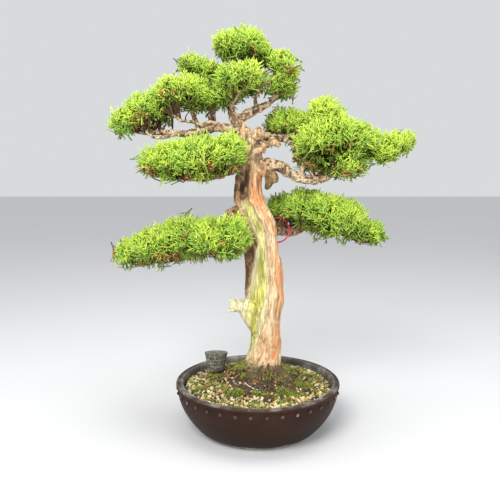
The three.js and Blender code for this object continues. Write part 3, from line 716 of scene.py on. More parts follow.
# %% Bark and bare wood looks
def bark_look(name, tan, flake_and_highlight, deep, with_masks):
    look = Look(name)
    along = (1, 1, 0.14) if with_masks else (0.4, 1, 1)
    fibre = look.noise(210, 4, along)
    broad = look.noise(62, 4, (1, 1, 0.3))
    crumb = look.noise(520, 3, (1, 1, 0.4))
    off_line = look.noise(250, 3, along) - 0.5
    crack = 1.0 - (off_line * off_line * 1300.0).clamp()
    colour = broad.rise(0.36, 0.64).between(tan, flake_and_highlight)
    colour = (fibre.rise(0.52, 0.66) * 0.5).between(colour, deep)
    colour = (crack * look.noise(90, 2).rise(0.38, 0.52) * 0.7).clamp().between(colour, deep)
    shed = look.noise(340, 3, (1, 1, 0.4))
    colour = (shed.rise(0.57, 0.64) * 0.6).between(colour,
                                                   tuple(min(1.0, 1.18 * c) for c in flake_and_highlight))
    colour = ((1.0 - shed).rise(0.61, 0.68) * 0.6).between(colour, tuple(0.45 * c for c in deep))
    rough = 0.78 + 0.15 * crumb
    height = fibre + 0.5 * crumb
    if not with_masks:
        # painted highlight on the raised lumps, then painted shade in the recesses
        ridge_highlight_mask = look.mask("flake_and_highlight") * crumb.rise(0.36, 0.56)
        colour = (ridge_highlight_mask * 0.9).clamp().between(colour, flake_and_highlight)
        colour = (look.mask("crevice_shade_and_debris") * 0.9).clamp().between(colour, deep)
    else:
        orange = look.mask("orange")
        brown = look.mask("brown")
        dead = look.mask("dead")
        algae = look.mask("algae")
        moss = look.mask("moss")
        crevice_shade_and_debris = look.mask("crevice_shade_and_debris")
        foot = look.mask("foot")
        rusty = (orange * (0.35 + 0.65 * broad.rise(0.4, 0.6))).clamp()
        colour = rusty.between(colour, (0.78, 0.29, 0.095))
        rind = look.noise(150, 4, (1, 1, 0.6)).rise(0.45, 0.6)
        old = rind.between((0.21, 0.105, 0.05), (0.52, 0.29, 0.14))
        old = (crumb.rise(0.55, 0.62) * 0.85).between(old, (0.05, 0.03, 0.02))
        colour = brown.between(colour, old)
        wood = fibre.rise(0.35, 0.68).between((0.74, 0.65, 0.34), (0.93, 0.87, 0.58))
        green = fibre.rise(0.35, 0.65).between((0.42, 0.40, 0.06), (0.76, 0.71, 0.20))
        wood = (crack * 0.35).clamp().between(wood, (0.30, 0.22, 0.08))
        green = (crack * 0.4).clamp().between(green, (0.14, 0.12, 0.025))
        wood = algae.between(wood, green)
        colour = dead.between(colour, wood)
        # painted shade in the recesses of the relief, and dark debris near the foot
        colour = (crevice_shade_and_debris * 0.85).clamp().between(colour, (0.075, 0.046, 0.025))
        peat = crumb.rise(0.42, 0.62).between((0.045, 0.027, 0.017), (0.20, 0.12, 0.065))
        colour = (foot * (0.55 + 0.9 * rind)).clamp().between(colour, peat)
        tuft = crumb.rise(0.4, 0.62).between((0.045, 0.07, 0.012), (0.20, 0.27, 0.03))
        colour = (moss * look.noise(170, 3).rise(0.38, 0.56)).clamp().between(colour, tuft)
    bump = look.bump(height - 0.6 * crack, 0.0014, 0.85)
    return look.finish(Base_Color=colour, Roughness=rough, Normal=bump)


TRUNK_BARK = bark_look("trunk_bark", (0.76, 0.46, 0.23), (0.90, 0.70, 0.43), (0.42, 0.18, 0.07),
                       True)
BRANCH_BARK = bark_look("branch_bark", (0.47, 0.27, 0.14), (0.78, 0.62, 0.40),
                        (0.095, 0.045, 0.022), False)
DARK_BARK = bark_look("dark_bark", (0.30, 0.15, 0.075), (0.56, 0.36, 0.21), (0.060, 0.028, 0.016),
                      False)

# %% Grow the trunk
parts = [build_stem()]
for course in [*root_courses(), *STUBS.values()]:
    path = spline(course, 5)
    parts.append(tube(path[:, :3], path[:, 3], 18))
trunk = melt("trunk_wood", parts, TRUNK_BARK, 1.35, 3)

spots = read_points(trunk)
normals = read_normals(trunk)
rows = spline(STEM, 5)
centre_x = np.interp(spots[:, 2], rows[:, 0], rows[:, 1])
left, right = strip_edges(spots[:, 2])
jitter = 2.4 * fractal(spots / [9, 9, 26], 3, 3)
across = spots[:, 0] + jitter
flank = 0.55 * (spots[:, 0] < centre_x - 12) * (spots[:, 2] < 185)
front = (rise(flank - normals[:, 1], -0.15, 0.25) * rise(spots[:, 2], 92, 104)
         * rise(-spots[:, 2], -353, -346))
border = np.minimum(across - left, right - across)
dead = rise(border, -0.8, 0.8) * front
snag = (rise(-spots[:, 0], 11.5, 16) * rise(-np.abs(spots[:, 2] - 183), -26, -18)
        * (spots[:, 1] < 3))
dead = np.maximum(dead, snag)
lean = np.interp(spots[:, 2], STRIP[:, 0], (STRIP[:, 1] + STRIP[:, 2]) / 2)
grain = np.stack([spots[:, 0] - lean, spots[:, 1], spots[:, 2] * 0.09], -1)
ridge = 1 - np.abs(fractal(grain / 5.5, 3, 11)) * 2.6
plates = fractal(np.stack([grain[:, 0] / 8, grain[:, 1] / 8, spots[:, 2] / 30], -1), 3, 23)
fine = fractal(np.stack([grain[:, 0] / 2.6, grain[:, 1] / 2.6, spots[:, 2] / 40], -1), 2, 41)
high = rise(spots[:, 2], 375, 410)
lumps = fractal(spots / 9.0, 3, 57)
crust = fractal(spots / 4.4, 2, 59)
knob = rise(spots[:, 0], 8, 13) * rise(-np.abs(spots[:, 2] - 378), -19, -13)
gnarl = np.maximum(np.maximum(knob, high * 0.8), 0.8 * rise(-spots[:, 2], -108, -96))
roll = np.exp(-((border + 2.6) / 2.4) ** 2) * front * (1 - dead)
hollow = (rise(centre_x - spots[:, 0], -1, 4) * rise(spots[:, 2], 343, 353)
          * rise(-spots[:, 2], -402, -390))
dead = dead * (1 - hollow)
bark_push = (1.2 * ridge + 2.1 * plates + 0.6 * fine + 2.2 * roll + high * 3.4 * lumps
             + gnarl * 2.6 * crust)
bark_push += hollow * (4.0 * fractal(spots / [6, 6, 13], 2, 63) - 2.0)
dead_push = -1.8 + 1.2 * fine + 0.9 * (1 - np.abs(fractal(grain / 4.0, 2, 77)) * 2.4) * 0.7
push = bark_push * (1 - dead) + dead_push * dead
swell = 2.2 * fractal(spots / [26, 26, 60], 2, 91) * rise(spots[:, 2], 100, 130)
thin = np.clip(rise(-np.abs(spots[:, 0] - centre_x), -31, -20) + 0.25, 0.25, 1)
write_points(trunk, spots + normals * ((push + swell) * thin)[:, None])

side = rise(spots[:, 0] - centre_x, -4, 12)
streak = fractal(np.stack([grain[:, 0] / 7, grain[:, 1] / 7, spots[:, 2] / 60], -1), 3, 101)
orange = rise(streak, -0.08, 0.25) * (0.35 + 0.65 * side) * rise(-spots[:, 2], -404, -392)
upper = rise(spots[:, 2], 322, 345) * rise(-spots[:, 2], -402, -380) * rise(spots[:, 0], -16, -6)
orange = np.maximum(orange, rise(streak, -0.15, 0.2) * upper)
brown = rise(left - across, -1, 2) * rise(spots[:, 2], 196, 212) * rise(-spots[:, 2], -335, -300)
brown = np.maximum(brown, rise(spots[:, 1], 2, 12) * 0.85)
brown = np.maximum(brown, rise(-spots[:, 2], -103, -94))
brown = np.maximum(brown, hollow)
middle = np.exp(-(((across - (left + right) / 2) / np.maximum((right - left) * 0.30, 3)) ** 2))
patch = fractal(spots / [10, 10, 34], 3, 111)
algae = np.clip(middle * 1.25 + 0.5 * patch - 0.08, 0, 1) * rise(-spots[:, 2], -336, -312)
algae = np.maximum(algae, np.clip(0.65 + patch, 0, 1) * rise(spots[:, 2], 300, 320))
algae *= rise(spots[:, 0], -26, -19)
# painted shade in the recesses of the bark relief, along the border of the bare strip and in the
# hollow; near the foot it also adds dark debris patches
crevice_shade_and_debris = rise(-(ridge + 0.4 * plates), -0.02, 0.5) * (1 - dead) * 0.55
crevice_shade_and_debris = np.maximum(crevice_shade_and_debris, 0.6 * np.exp(-((border + 0.5) / 0.7) ** 2) * front)
crevice_shade_and_debris = np.maximum(crevice_shade_and_debris, dead * rise(-fine, 0.32, 0.6) * 0.5)
crevice_shade_and_debris = np.maximum(crevice_shade_and_debris, rise(-lumps, 0.0, 0.32) * high * 0.9)
brown = np.maximum(brown, knob)
crevice_shade_and_debris = np.maximum(crevice_shade_and_debris, gnarl * rise(-crust, -0.02, 0.3))
crevice_shade_and_debris = np.maximum(crevice_shade_and_debris, hollow * rise(fractal(spots / [6, 6, 13], 2, 63) * -1, -0.25, 0.15))
crevice_shade_and_debris = np.maximum(crevice_shade_and_debris,
                    rise(-spots[:, 2], -106, -93) * rise(-fractal(spots / 6, 2, 19), -0.2, 0.3)
                    * 0.8)
moss = rise(-spots[:, 2], -116, -96) * rise(-spots[:, 0], -16, 8) * 0.9
moss = np.maximum(moss, 0.5 * rise(-spots[:, 2], -101, -90))
moss = np.maximum(moss, knob * rise(-spots[:, 2], -386, -376) * 0.5)
rag = 7 * fractal(np.stack([spots[:, 0] / 4, spots[:, 1] / 4, spots[:, 2] / 18], -1), 2, 131)
foot = rise(-spots[:, 2] + rag, -105, -99)
moss *= 1 - 0.6 * foot
for key, values in (("dead", dead), ("orange", orange), ("brown", brown), ("algae", algae),
                    ("crevice_shade_and_debris", crevice_shade_and_debris), ("moss", moss), ("foot", foot)):
    trunk.data.attributes.new(key, "FLOAT", "POINT").data.foreach_set("value",
                                                                      values.astype(np.float32))
piece(trunk, "bark", "trunk")
print("trunk:", len(trunk.data.polygons), "faces, dead wood on", round(float(dead.mean()) * 100),
      "% of it")

# %% [markdown]
# ## Branches
#
# Each named branch is one main limb with a few side limbs. They are melted together in the same
# way as the trunk, so every fork has a real crotch. Old juniper wood is knobbly, so the radius
# swells and shrinks along each limb before the bark ridges are added.

# %% Branch skeletons
BRANCHES = {  # x, y, z, radius
    "branch_lower_left": [
        [(-14, 0, 326, 13), (-34, 0, 326, 12), (-50, -2, 306, 10.5), (-66, -6, 286, 8.5),
         (-90, -8, 272, 6.5),
         (-118, -8, 264, 5), (-146, -8, 262, 4), (-176, -4, 268, 2.6)],
        [(-80, -7, 276, 5.5), (-94, 16, 268, 4.4), (-106, 38, 270, 3.4), (-116, 60, 276, 2.4)],
        [(-40, 0, 320, 7), (-50, 22, 302, 5), (-60, 44, 284, 3.8), (-72, 66, 284, 2.6)],
        [(-66, -6, 286, 5.5), (-58, -26, 278, 4), (-46, -38, 284, 2.6)],
    ],
    "branch_lower_right": [
        [(10, 4, 308, 9), (22, 16, 305, 8.4), (36, 28, 302, 7.6), (52, 35, 299, 7),
         (73, 30, 306, 6),
         (96, 16, 305, 5), (128, 5, 302, 4), (160, 2, 298, 2.6)],
        [(73, 30, 306, 4.5), (88, 48, 312, 3.6), (104, 70, 322, 2.4)],
    ],
    "branch_middle_left": [
        [(-16, -4, 402, 7.5), (-32, -9, 396, 7), (-52, -13, 388, 6), (-80, -14, 383, 5),
         (-108, -12, 382, 4),
         (-140, -8, 390, 2.6)],
        [(-62, -13, 386, 4.5), (-76, 14, 384, 3.8), (-90, 38, 388, 3), (-104, 58, 396, 2.2)],
    ],
    "branch_upper_left": [
        [(-26, -2, 449, 7), (-44, -6, 453, 6.2), (-62, -8, 453, 5.4), (-85, -8, 449, 5),
         (-107, -6, 445, 4.4),
         (-129, -4, 447, 4), (-152, -3, 447, 3.4), (-170, -2, 447, 2.8), (-192, 0, 455, 2.2)],
        [(-50, -7, 455, 4), (-68, -12, 460, 3.2), (-80, -13, 457, 2.8), (-95, -13, 461, 2.4),
         (-110, -14, 463, 2.2), (-124, -14, 472, 1.8)],
        [(-106, -6, 446, 3.4), (-121, -12, 443, 2.6), (-138, -15, 439, 2.3), (-152, -14, 440, 2),
         (-163, -9, 449, 1.8)],
        [(-85, -8, 450, 4), (-92, -2, 466, 3), (-98, 2, 484, 2.6), (-96, 4, 508, 2.2),
         (-92, 8, 528, 1.8)],
    ],
    "branch_right_low": [
        [(-2, -2, 400, 9.5), (16, -5, 401, 8.6), (32, -6, 398, 8), (46, -6, 389, 7),
         (62, -6, 381, 6),
         (80, -4, 378, 5.4), (100, -2, 382, 4.6), (124, 0, 396, 4), (156, 0, 412, 3.2),
         (190, 1, 422, 2.2)],
        [(62, -6, 381, 4.4), (66, -14, 400, 3.2), (72, -18, 420, 2.4)],
        [(112, -1, 389, 3.6), (118, -10, 408, 2.8), (122, -12, 428, 2)],
        [(84, -4, 379, 4.6), (98, 18, 390, 3.8), (110, 40, 406, 3), (118, 54, 424, 2.2)],
    ],
    "branch_right_high": [
        [(-10, 0, 441, 7), (6, 5, 442, 6), (22, 10, 441, 5.2), (40, 14, 441, 4.4),
         (60, 12, 450, 3.6),
         (80, 8, 458, 3), (98, 5, 470, 2.2)],
        [(36, 13, 440, 3.2), (50, 7, 431, 2.6), (53, 2, 418, 2.2), (52, 0, 404, 1.8)],
        [(30, 12, 441, 4), (42, 30, 450, 3.2), (54, 50, 458, 2.4)],
    ],
    "branch_apex_right": [
        [(-31, 0, 464, 6.4), (-18, 3, 473, 5.8), (-6, 5, 480, 5.4), (8, 6, 486, 4.8),
         (20, 6, 494, 4),
         (31, 5, 508, 3), (38, 4, 524, 2.2)],
        [(-2, 5, 483, 3.2), (-4, 4, 498, 2.4), (4, 2, 511, 2.2), (16, 1, 520, 2),
         (26, 1, 531, 1.8),
         (31, 2, 544, 1.6)],
    ],
    "leader": [
        [(-38.5, 0, 474, 5.6), (-39.5, 0, 486, 4.8), (-44, 0, 500, 4.2), (-50, 0, 514, 3.6),
         (-55, 0, 527, 3),
         (-50, 1, 544, 2.6), (-38, 2, 558, 2.2), (-24, 2, 566, 1.8)],
        [(-46, 0, 504, 3), (-58, 3, 517, 2.6), (-70, 8, 527, 2.2), (-82, 10, 534, 1.8)],
        [(-40, 0, 488, 3), (-30, -10, 500, 2.4), (-22, -18, 512, 2.2), (-16, -22, 522, 1.8)],
        [(-40, 0, 486, 3.8), (-42, 20, 494, 3.2), (-42, 44, 502, 2.6), (-30, 60, 514, 2.2)],
    ],
}
PALE_LIMBS = ("branch_upper_left", "branch_apex_right", "leader", "branch_right_high",
              "branch_right_low")


def build_branch(name, limbs, seed):
    parts, spine = [], []
    for n, limb in enumerate(limbs):
        path = spline(limb, 6)
        path[1:-1, :3] += 1.3 * np.stack([fractal(path[1:-1, :3] / 12, 2, seed + k)
                                          for k in range(3)], -1)
        knobs = 1.04 + 0.30 * fractal(path[:, :3] / 7, 2, seed + n)
        spine.append(path[:, :3])
        parts.append(tube(path[:, :3], np.maximum(path[:, 3] * knobs, 1.5), 14))
    obj = melt(name + "_wood", parts, BRANCH_BARK if name in PALE_LIMBS else DARK_BARK, 1.05, 2)
    spots = read_points(obj)
    thick = np.linalg.norm(spots[:, None] - np.vstack(spine)[None], axis=2).min(axis=1)
    ridge = 1 - np.abs(fractal(spots / [6.5, 3.2, 3.2], 3, seed + 7)) * 2.4
    lump = fractal(spots / 3.6, 3, seed + 9)
    push = (0.8 * ridge + 2.0 * lump) * np.clip(thick / 6, 0.2, 1)
    write_points(obj, spots + read_normals(obj) * push[:, None])
    # painted shade in the recesses and painted highlight on the raised lumps, both from the same
    # noise as the relief
    masks = {"crevice_shade_and_debris": rise(-lump, 0.02, 0.34) + 0.5 * rise(-ridge, 0.0, 0.5),
             "flake_and_highlight": rise(lump, -0.02, 0.3)}
    for key, values in masks.items():
        obj.data.attributes.new(key, "FLOAT", "POINT").data.foreach_set("value",
                                                                        values.astype(np.float32))
    return piece(obj, "bark", name)


for seed, (name, limbs) in enumerate(BRANCHES.items()):
    branch = build_branch(name, limbs, 200 + 20 * seed)
    print(name, len(branch.data.polygons), "faces")

# %% [markdown]
# ## Foliage
#
# Juniper leaves are scales pressed against thin green cords. A shoot is one cord with side cords,
# which carry smaller ones again, all in a loose fan. We grow a dozen different shoots once. Copies
# are then turned, scaled and set all over each pad.
#
# Colour goes by a UV map, so that one small picture can carry it later: u runs from the base of a
# shoot to its tip, and v says what the shoot is. The band below 0.5 is fresh green, from bluish to
# yellow-green, and its lighter end also carries painted light on shoots that face up or stand out.
# The next band is a darker green painted as shade on the inner growth and the underside, and the
# top band is brown twigs and dead shoots.

# %% Foliage look
def leaf_look():
    look = Look("leaf")
    uv = look.node("ShaderNodeUVMap", {"uv_map": "OFBake"})
    split = look.node("ShaderNodeSeparateXYZ", values={0: uv})
    u = Value(look, split.socket.node.outputs[0])
    v = Value(look, split.socket.node.outputs[1])
    tone = (v * 2).clamp()
    base = tone.between((0.110, 0.205, 0.018), (0.190, 0.310, 0.012))
    tip = tone.between((0.300, 0.540, 0.075), (0.72, 0.88, 0.100))
    green = u.rise(0.2, 0.92).between(base, tip)
    # painted shade: the darker green for the inner layer and the underside shoots
    inner = u.rise(0.1, 1.0).between((0.075, 0.120, 0.009), (0.190, 0.310, 0.020))
    brown = u.rise(0.0, 1.0).between((0.100, 0.046, 0.024), (0.52, 0.25, 0.075))
    colour = v.rise(0.498, 0.502).between(green, inner)
    colour = v.rise(0.748, 0.752).between(colour, brown)
    return look.finish(Base_Color=colour, Roughness=0.52 + 0.12 * tone)


LEAF = leaf_look()

# %% Grow the shoots
def make_shoot(rng):
    """One shoot of unit length along +Z as (points, quads, tips, u along each point)."""
    cords = {4: [], 3: [], 2: []}
    bend = rng.normal(0, 0.16, 2)

    def spine(t):
        return np.stack([bend[0] * t ** 2, bend[1] * t ** 2, t], -1)

    cords[4].append((spine(np.linspace(0, 1, 4)), np.linspace(0.042, 0.018, 4),
                     np.linspace(0.05, 1, 4)))
    fan = rng.uniform(0, 2 * np.pi)
    for n in range(6):
        t = 0.2 + 0.125 * n + rng.uniform(-0.04, 0.04)
        start = spine(np.array([t]))[0]
        turn = fan + np.pi * (n % 2) + rng.normal(0, 0.6)
        spread = rng.uniform(0.6, 1.15)
        heading = np.array([np.cos(turn) * spread, np.sin(turn) * spread, 1.0])
        heading /= np.linalg.norm(heading)
        reach = (0.26 + 0.40 * (1 - t)) * rng.uniform(0.75, 1.2)
        steps = np.array([0, 0.55, 1])[:, None]
        path = start + heading * steps * reach + np.array([0, 0, 0.12]) * steps ** 2 * reach
        ages = np.clip(t + (1 - t) * steps[:, 0] * 0.9, 0, 1)
        cords[3].append((path, np.array([0.035, 0.031, 0.017]), ages))
        for side in (-1, 1)[:2 if n < 4 else 1]:
            share = rng.uniform(0.3, 0.75)
            root = path[0] + (path[2] - path[0]) * share
            sideways = (np.cross(heading, [0, 0, 1]) * side * rng.uniform(0.5, 1.0)
                        + rng.normal(0, 0.25, 3))
            twig = heading + sideways
            twig /= np.linalg.norm(twig)
            small = reach * rng.uniform(0.30, 0.50)
            cords[2].append((np.array([root, root + twig * small]), np.array([0.031, 0.018]),
                             np.array([ages[0] + (ages[2] - ages[0]) * share,
                                       min(1.0, ages[2] + 0.05)])))
    points, quads, tips, age, start = [], [], [], [], 0
    for group in cords.values():
        shape, square, tip = many_tubes(np.array([c[0] for c in group]),
                                        np.array([c[1] for c in group]), 3)
        points.append(shape)
        quads.append(square + start)
        tips.append(tip + start)
        age.append(np.repeat(np.array([c[2] for c in group])[:, :, None], 3, axis=2).ravel())
        start += len(shape)
    return np.vstack(points), np.vstack(quads), np.vstack(tips), np.concatenate(age)


SHOOTS = [make_shoot(np.random.default_rng(1000 + n)) for n in range(12)]
print("a shoot has", len(SHOOTS[0][1]), "quads and", len(SHOOTS[0][2]), "tips")

# %% [markdown]
# A pad is a few overlapping rounded lobes. Shoots start just under the surface of a lobe and point
# outward and up, because a juniper grows to the light. Underneath there are fewer of them. Clumps
# come from a noise that pushes whole groups of shoots in or out together, so the edge of a pad is
# ragged rather than smooth. An inner layer, painted darker as shade, closes the gaps, and brown
# twigs reach in from the branch.

# %% Pads of shoots
PADS = {  # lobes: centre x, y, z, radii x, y, z
    "foliage_lower_left": [(-181, -2, 270, 33, 38, 24), (-147, -18, 280, 37, 42, 30),
                           (-106, -8, 291, 38, 48, 34),
                           (-68, -34, 293, 35, 38, 33), (-36, -50, 297, 26, 26, 31),
                           (-112, 44, 284, 42, 42, 28),
                           (-70, 52, 292, 34, 38, 27)],
    "foliage_lower_right": [(36, 44, 338, 24, 26, 21), (68, 22, 336, 32, 38, 29),
                            (104, 4, 326, 37, 44, 35),
                            (134, -8, 318, 28, 38, 29), (164, 4, 300, 26, 32, 20),
                            (96, 58, 330, 42, 40, 28)],
    "foliage_middle_left": [(-148, -6, 405, 27, 38, 25), (-116, -24, 404, 33, 40, 30),
                            (-79, -33, 410, 34, 36, 33),
                            (-43, -43, 415, 26, 24, 27), (-100, 40, 404, 44, 40, 28)],
    "foliage_left_tip": [(-191, 2, 462, 26, 30, 21), (-166, -6, 479, 27, 34, 24),
                         (-141, 16, 482, 22, 30, 20)],
    "foliage_left_inner": [(-124, -12, 503, 27, 30, 23), (-97, -22, 506, 27, 28, 24),
                           (-78, -6, 494, 21, 26, 19)],
    "foliage_left_top": [(-98, 14, 545, 21, 30, 20), (-76, 20, 535, 23, 30, 20)],
    "foliage_apex": [(-48, 5, 573, 20, 28, 19), (-18, 0, 571, 28, 36, 24),
                     (5, 10, 562, 18, 30, 18)],
    "foliage_apex_right": [(28, 5, 551, 19, 26, 19), (40, -4, 536, 18, 24, 19),
                           (37, 10, 515, 21, 28, 18)],
    "foliage_apex_front": [(-40, -28, 522, 21, 20, 20), (-15, -31, 522, 23, 22, 22),
                           (-54, -22, 500, 16, 16, 14)],
    "foliage_apex_back": [(-46, 54, 512, 34, 34, 28), (-16, 58, 530, 30, 30, 24)],
    "foliage_right_inner": [(36, 38, 464, 25, 34, 23), (60, 36, 458, 28, 36, 28)],
    "foliage_right_main": [(98, 4, 470, 26, 36, 30), (84, -20, 434, 33, 32, 31),
                           (120, -14, 438, 35, 38, 32),
                           (92, 4, 408, 35, 34, 25), (152, -4, 432, 29, 36, 27),
                           (132, -8, 402, 27, 32, 27),
                           (118, 46, 428, 40, 34, 32)],
    "foliage_right_tip": [(186, 0, 424, 26, 30, 25), (210, 2, 434, 21, 24, 16)],
}
AREA_PER_SHOOT = 50.0
RING_AT = (30, 24, 302)  # the red ring hangs free of the leaves


def nearness(points, lobes):
    """Scaled distance to every lobe centre, one column per lobe: below 1 is inside that lobe."""
    return np.stack([np.linalg.norm((points - lobe[:3]) / np.array(lobe[3:]), axis=1)
                     for lobe in lobes], -1)


def settle(points, lobes, level, rounds=4):
    """Moves points to the smooth skin round all lobes; level 1 is the outside of the pad."""
    for _ in range(rounds):
        weights = np.exp(-3.2 * (nearness(points, lobes) ** 2 - level ** 2))
        slope = sum(-6.4 * (points - lobe[:3]) / np.array(lobe[3:], float) ** 2
                    * weights[:, n:n + 1]
                    for n, lobe in enumerate(lobes))
        total = weights.sum(axis=1)
        size = np.maximum(np.linalg.norm(slope, axis=1), 1e-6)
        step = np.clip((total - 1) / size, -4, 4)
        normal = -slope / size[:, None]
        points = points + normal * step[:, None]
    return points, normal


def seed_shoots(rng, lobes):
    """Bases, headings, lengths and v values of every shoot of one pad."""
    found = []
    for n, lobe in enumerate(lobes):
        radii = np.array(lobe[3:], float)
        area = 4 * np.pi * (((radii[0] * radii[1]) ** 1.6 + (radii[0] * radii[2]) ** 1.6
                             + (radii[1] * radii[2]) ** 1.6) / 3) ** (1 / 1.6)
        for layer, (level, share) in enumerate(((1.0, 1.0), (0.76, 0.36))):
            count = int(area * level ** 2 / AREA_PER_SHOOT * share)
            sphere = unit(rng.normal(0, 1, (count, 3)))
            spots = lobe[:3] + sphere * radii * level
            others = np.delete(nearness(spots, lobes), n, axis=1).min(axis=1)
            spots, normal = settle(spots[others > 0.86 * level], lobes, level)
            clump = 0.7 * fractal(spots / 13.0, 2, 300) + 0.5 * fractal(spots / 30.0, 2, 305)
            chance = rise(clump, -0.75, -0.3) * np.where(normal[:, 2] < -0.45, 0.3, 1.0)
            keep = rng.uniform(0, 1, len(spots)) < chance
            spots, normal, clump = spots[keep], normal[keep], clump[keep]
            count = len(spots)
            out = np.minimum(clump * 13.0 + rng.normal(0, 1.8, count),
                             2.0 + rng.uniform(-4, 3, count))
            tips = spots + normal * (out - 2.5)[:, None]
            up = np.array([0, 0, 1.0]) * rng.uniform(0.4, 1.0, (count, 1))
            lift = np.where(normal[:, 2:] > -0.2, 0.75, 0.15)
            heading = unit(normal * 0.8 + up * lift + rng.normal(0, 0.40, (count, 3)))
            length = rng.uniform(19, 31, count) * (0.95 + 0.25 * clump)
            # tone is partly random and a cooler tint for the low pads, and partly painted light:
            # shoots that face up or stand out are made lighter
            tone = (0.25 + 0.17 * fractal(spots / 26, 2, 310) + rng.normal(0, 0.10, count)
                    + 0.11 * normal[:, 2] + 0.010 * out - 0.045 * (lobe[2] < 345))
            tone = np.clip(tone, 0.02, 0.46)
            # painted shade: the inner layer takes the darker inner band
            if layer == 1:
                tone = rng.uniform(0.54, 0.71, count)
            # painted shade: many downward-facing shoots take the darker inner band too
            under = (normal[:, 2] < -0.35) & (rng.uniform(0, 1, count) < 0.45)
            tone = np.where(under, rng.uniform(0.54, 0.71, count), tone)
            dead = rng.uniform(0, 1, count) < np.where(normal[:, 2] < -0.3, 0.13, 0.006)
            tone = np.where(dead, rng.uniform(0.80, 0.94, count), tone)
            clear = (np.hypot(tips[:, 0] - RING_AT[0],
                              tips[:, 2] - RING_AT[2]) > 27) | (tips[:, 1] > RING_AT[1] + 6)
            bases = tips - heading * length[:, None] * 0.94
            found.append((bases[clear], heading[clear], length[clear], tone[clear]))
    return [np.concatenate([f[k] for f in found]) for k in range(4)]


def reach_twigs(rng, lobes, joints, sag):
    """Brown twigs from the pad's own limb to points all over the inside of the lobes."""
    paths = []
    for lobe in lobes:
        radii = np.array(lobe[3:])
        count = int(radii.mean() * (1.2 + 8 * sag))
        sphere = unit(rng.normal(0, 1, (count, 3)) * [1, 1, 0.75] - [0, 0, 3.0 * sag])
        ends = lobe[:3] + sphere * radii * rng.uniform(0.66, 0.97, (count, 1))
        for end in ends:
            gaps = (np.linalg.norm(joints - end, axis=1)
                    + 0.6 * np.maximum(joints[:, 2] - end[2], 0))
            choice = joints[np.argsort(gaps)[rng.integers(0, 6)]]
            reach = end - choice
            t = np.linspace(0, 1, 6)[:, None]
            droop = np.array([0, 0, -sag * np.linalg.norm(reach)])
            wiggle = rng.normal(0, 1.3, (6, 3)) * np.sin(t * np.pi)
            paths.append(choice + reach * t + droop * np.sin(t * np.pi) + wiggle)
    return np.array(paths)


def build_cluster(name, node, rng, shoots, paths):
    """One mesh of shoots and twigs. Big pads are two or three of these, side by side."""
    bases, headings, lengths, tones = shoots
    kinds = rng.integers(0, len(SHOOTS), len(bases))
    spin = rng.uniform(0, 2 * np.pi, len(bases))
    points, quads, tips, uvs, start = [], [], [], [], 0
    for kind, (shape, square, tip, age) in enumerate(SHOOTS):
        pick = kinds == kind
        count = int(pick.sum())
        forward = headings[pick]
        side = unit(np.cross(forward, unit(np.array([0.31, 0.22, 0.93]) + 0 * forward)))
        other = np.cross(forward, side)
        turn = spin[pick][:, None]
        first = side * np.cos(turn) + other * np.sin(turn)
        second = np.cross(forward, first)
        axes = np.stack([first, second, forward], 1) * lengths[pick][:, None, None]
        placed = bases[pick][:, None] + np.einsum("pk,nkc->npc", shape, axes)
        points.append(placed.reshape(-1, 3))
        offsets = (start + np.arange(count) * len(shape))[:, None, None]
        quads.append((square[None] + offsets).reshape(-1, 4))
        tips.append((tip[None] + offsets).reshape(-1, 3))
        across = np.tile([-0.008, 0.0, 0.008], len(shape) // 3)
        v = tones[pick][:, None] + across[None]
        uvs.append(np.stack([np.broadcast_to(age * 0.96 + 0.02, v.shape), v], -1).reshape(-1, 2))
        start += count * len(shape)
    radii = np.linspace(1.25, 0.5, 6)[None] * rng.uniform(0.8, 1.3, (len(paths), 1))
    shape, square, tip = many_tubes(paths, radii, 4)
    points.append(shape)
    quads.append(square + start)
    corners = tip + start
    tips.append(corners[:, :3])
    tips.append(corners[:, [0, 2, 3]])
    v = rng.uniform(0.78, 0.92, (len(paths), 1, 1)) + np.array([-0.01, 0.0, 0.01, 0.0])[None, None]
    u = np.linspace(0.03, 0.42, 6)[None, :, None]
    uvs.append(np.stack(np.broadcast_arrays(u, v), -1).reshape(-1, 2))
    cluster = mesh_object(name, np.vstack(points), [np.vstack(quads), np.vstack(tips)], LEAF,
                          uv=np.vstack(uvs))
    return piece(cluster, "leaf", node)


def build_pad(name, lobes, joints, seed, most=1050):
    rng = np.random.default_rng(seed)
    shoots = seed_shoots(rng, lobes)
    paths = reach_twigs(rng, lobes, joints, 0.14 if lobes[0][2] < 410 else 0.02)
    clusters = math.ceil(len(shoots[0]) / most)
    order = np.array_split(np.argsort(shoots[0][:, 0]), clusters)
    twig_order = np.array_split(np.argsort(paths[:, -1, 0]), clusters)
    for n in range(clusters):
        part = [values[order[n]] for values in shoots]
        build_cluster(f"{name}_shoots_{n + 1}", name, rng, part, paths[twig_order[n]])
    return len(shoots[0]), clusters


BEARERS = {  # which branches carry each pad
    "foliage_lower_left": ["branch_lower_left"], "foliage_lower_right": ["branch_lower_right"],
    "foliage_middle_left": ["branch_middle_left"], "foliage_left_tip": ["branch_upper_left"],
    "foliage_left_inner": ["branch_upper_left"],
    "foliage_left_top": ["branch_upper_left", "leader"],
    "foliage_apex": ["leader"], "foliage_apex_right": ["branch_apex_right"],
    "foliage_apex_front": ["leader"],
    "foliage_apex_back": ["leader"], "foliage_right_inner": ["branch_right_high"],
    "foliage_right_main": ["branch_right_low", "branch_right_high"],
    "foliage_right_tip": ["branch_right_low"],
}
for seed, (name, lobes) in enumerate(PADS.items()):
    joints = np.vstack([spline(limb, 6)[3:, :3] for bearer in BEARERS[name]
                        for limb in BRANCHES[bearer]])
    count, clusters = build_pad(name, lobes, joints, 500 + seed)
    print(name, count, "shoots in", clusters, "clusters")

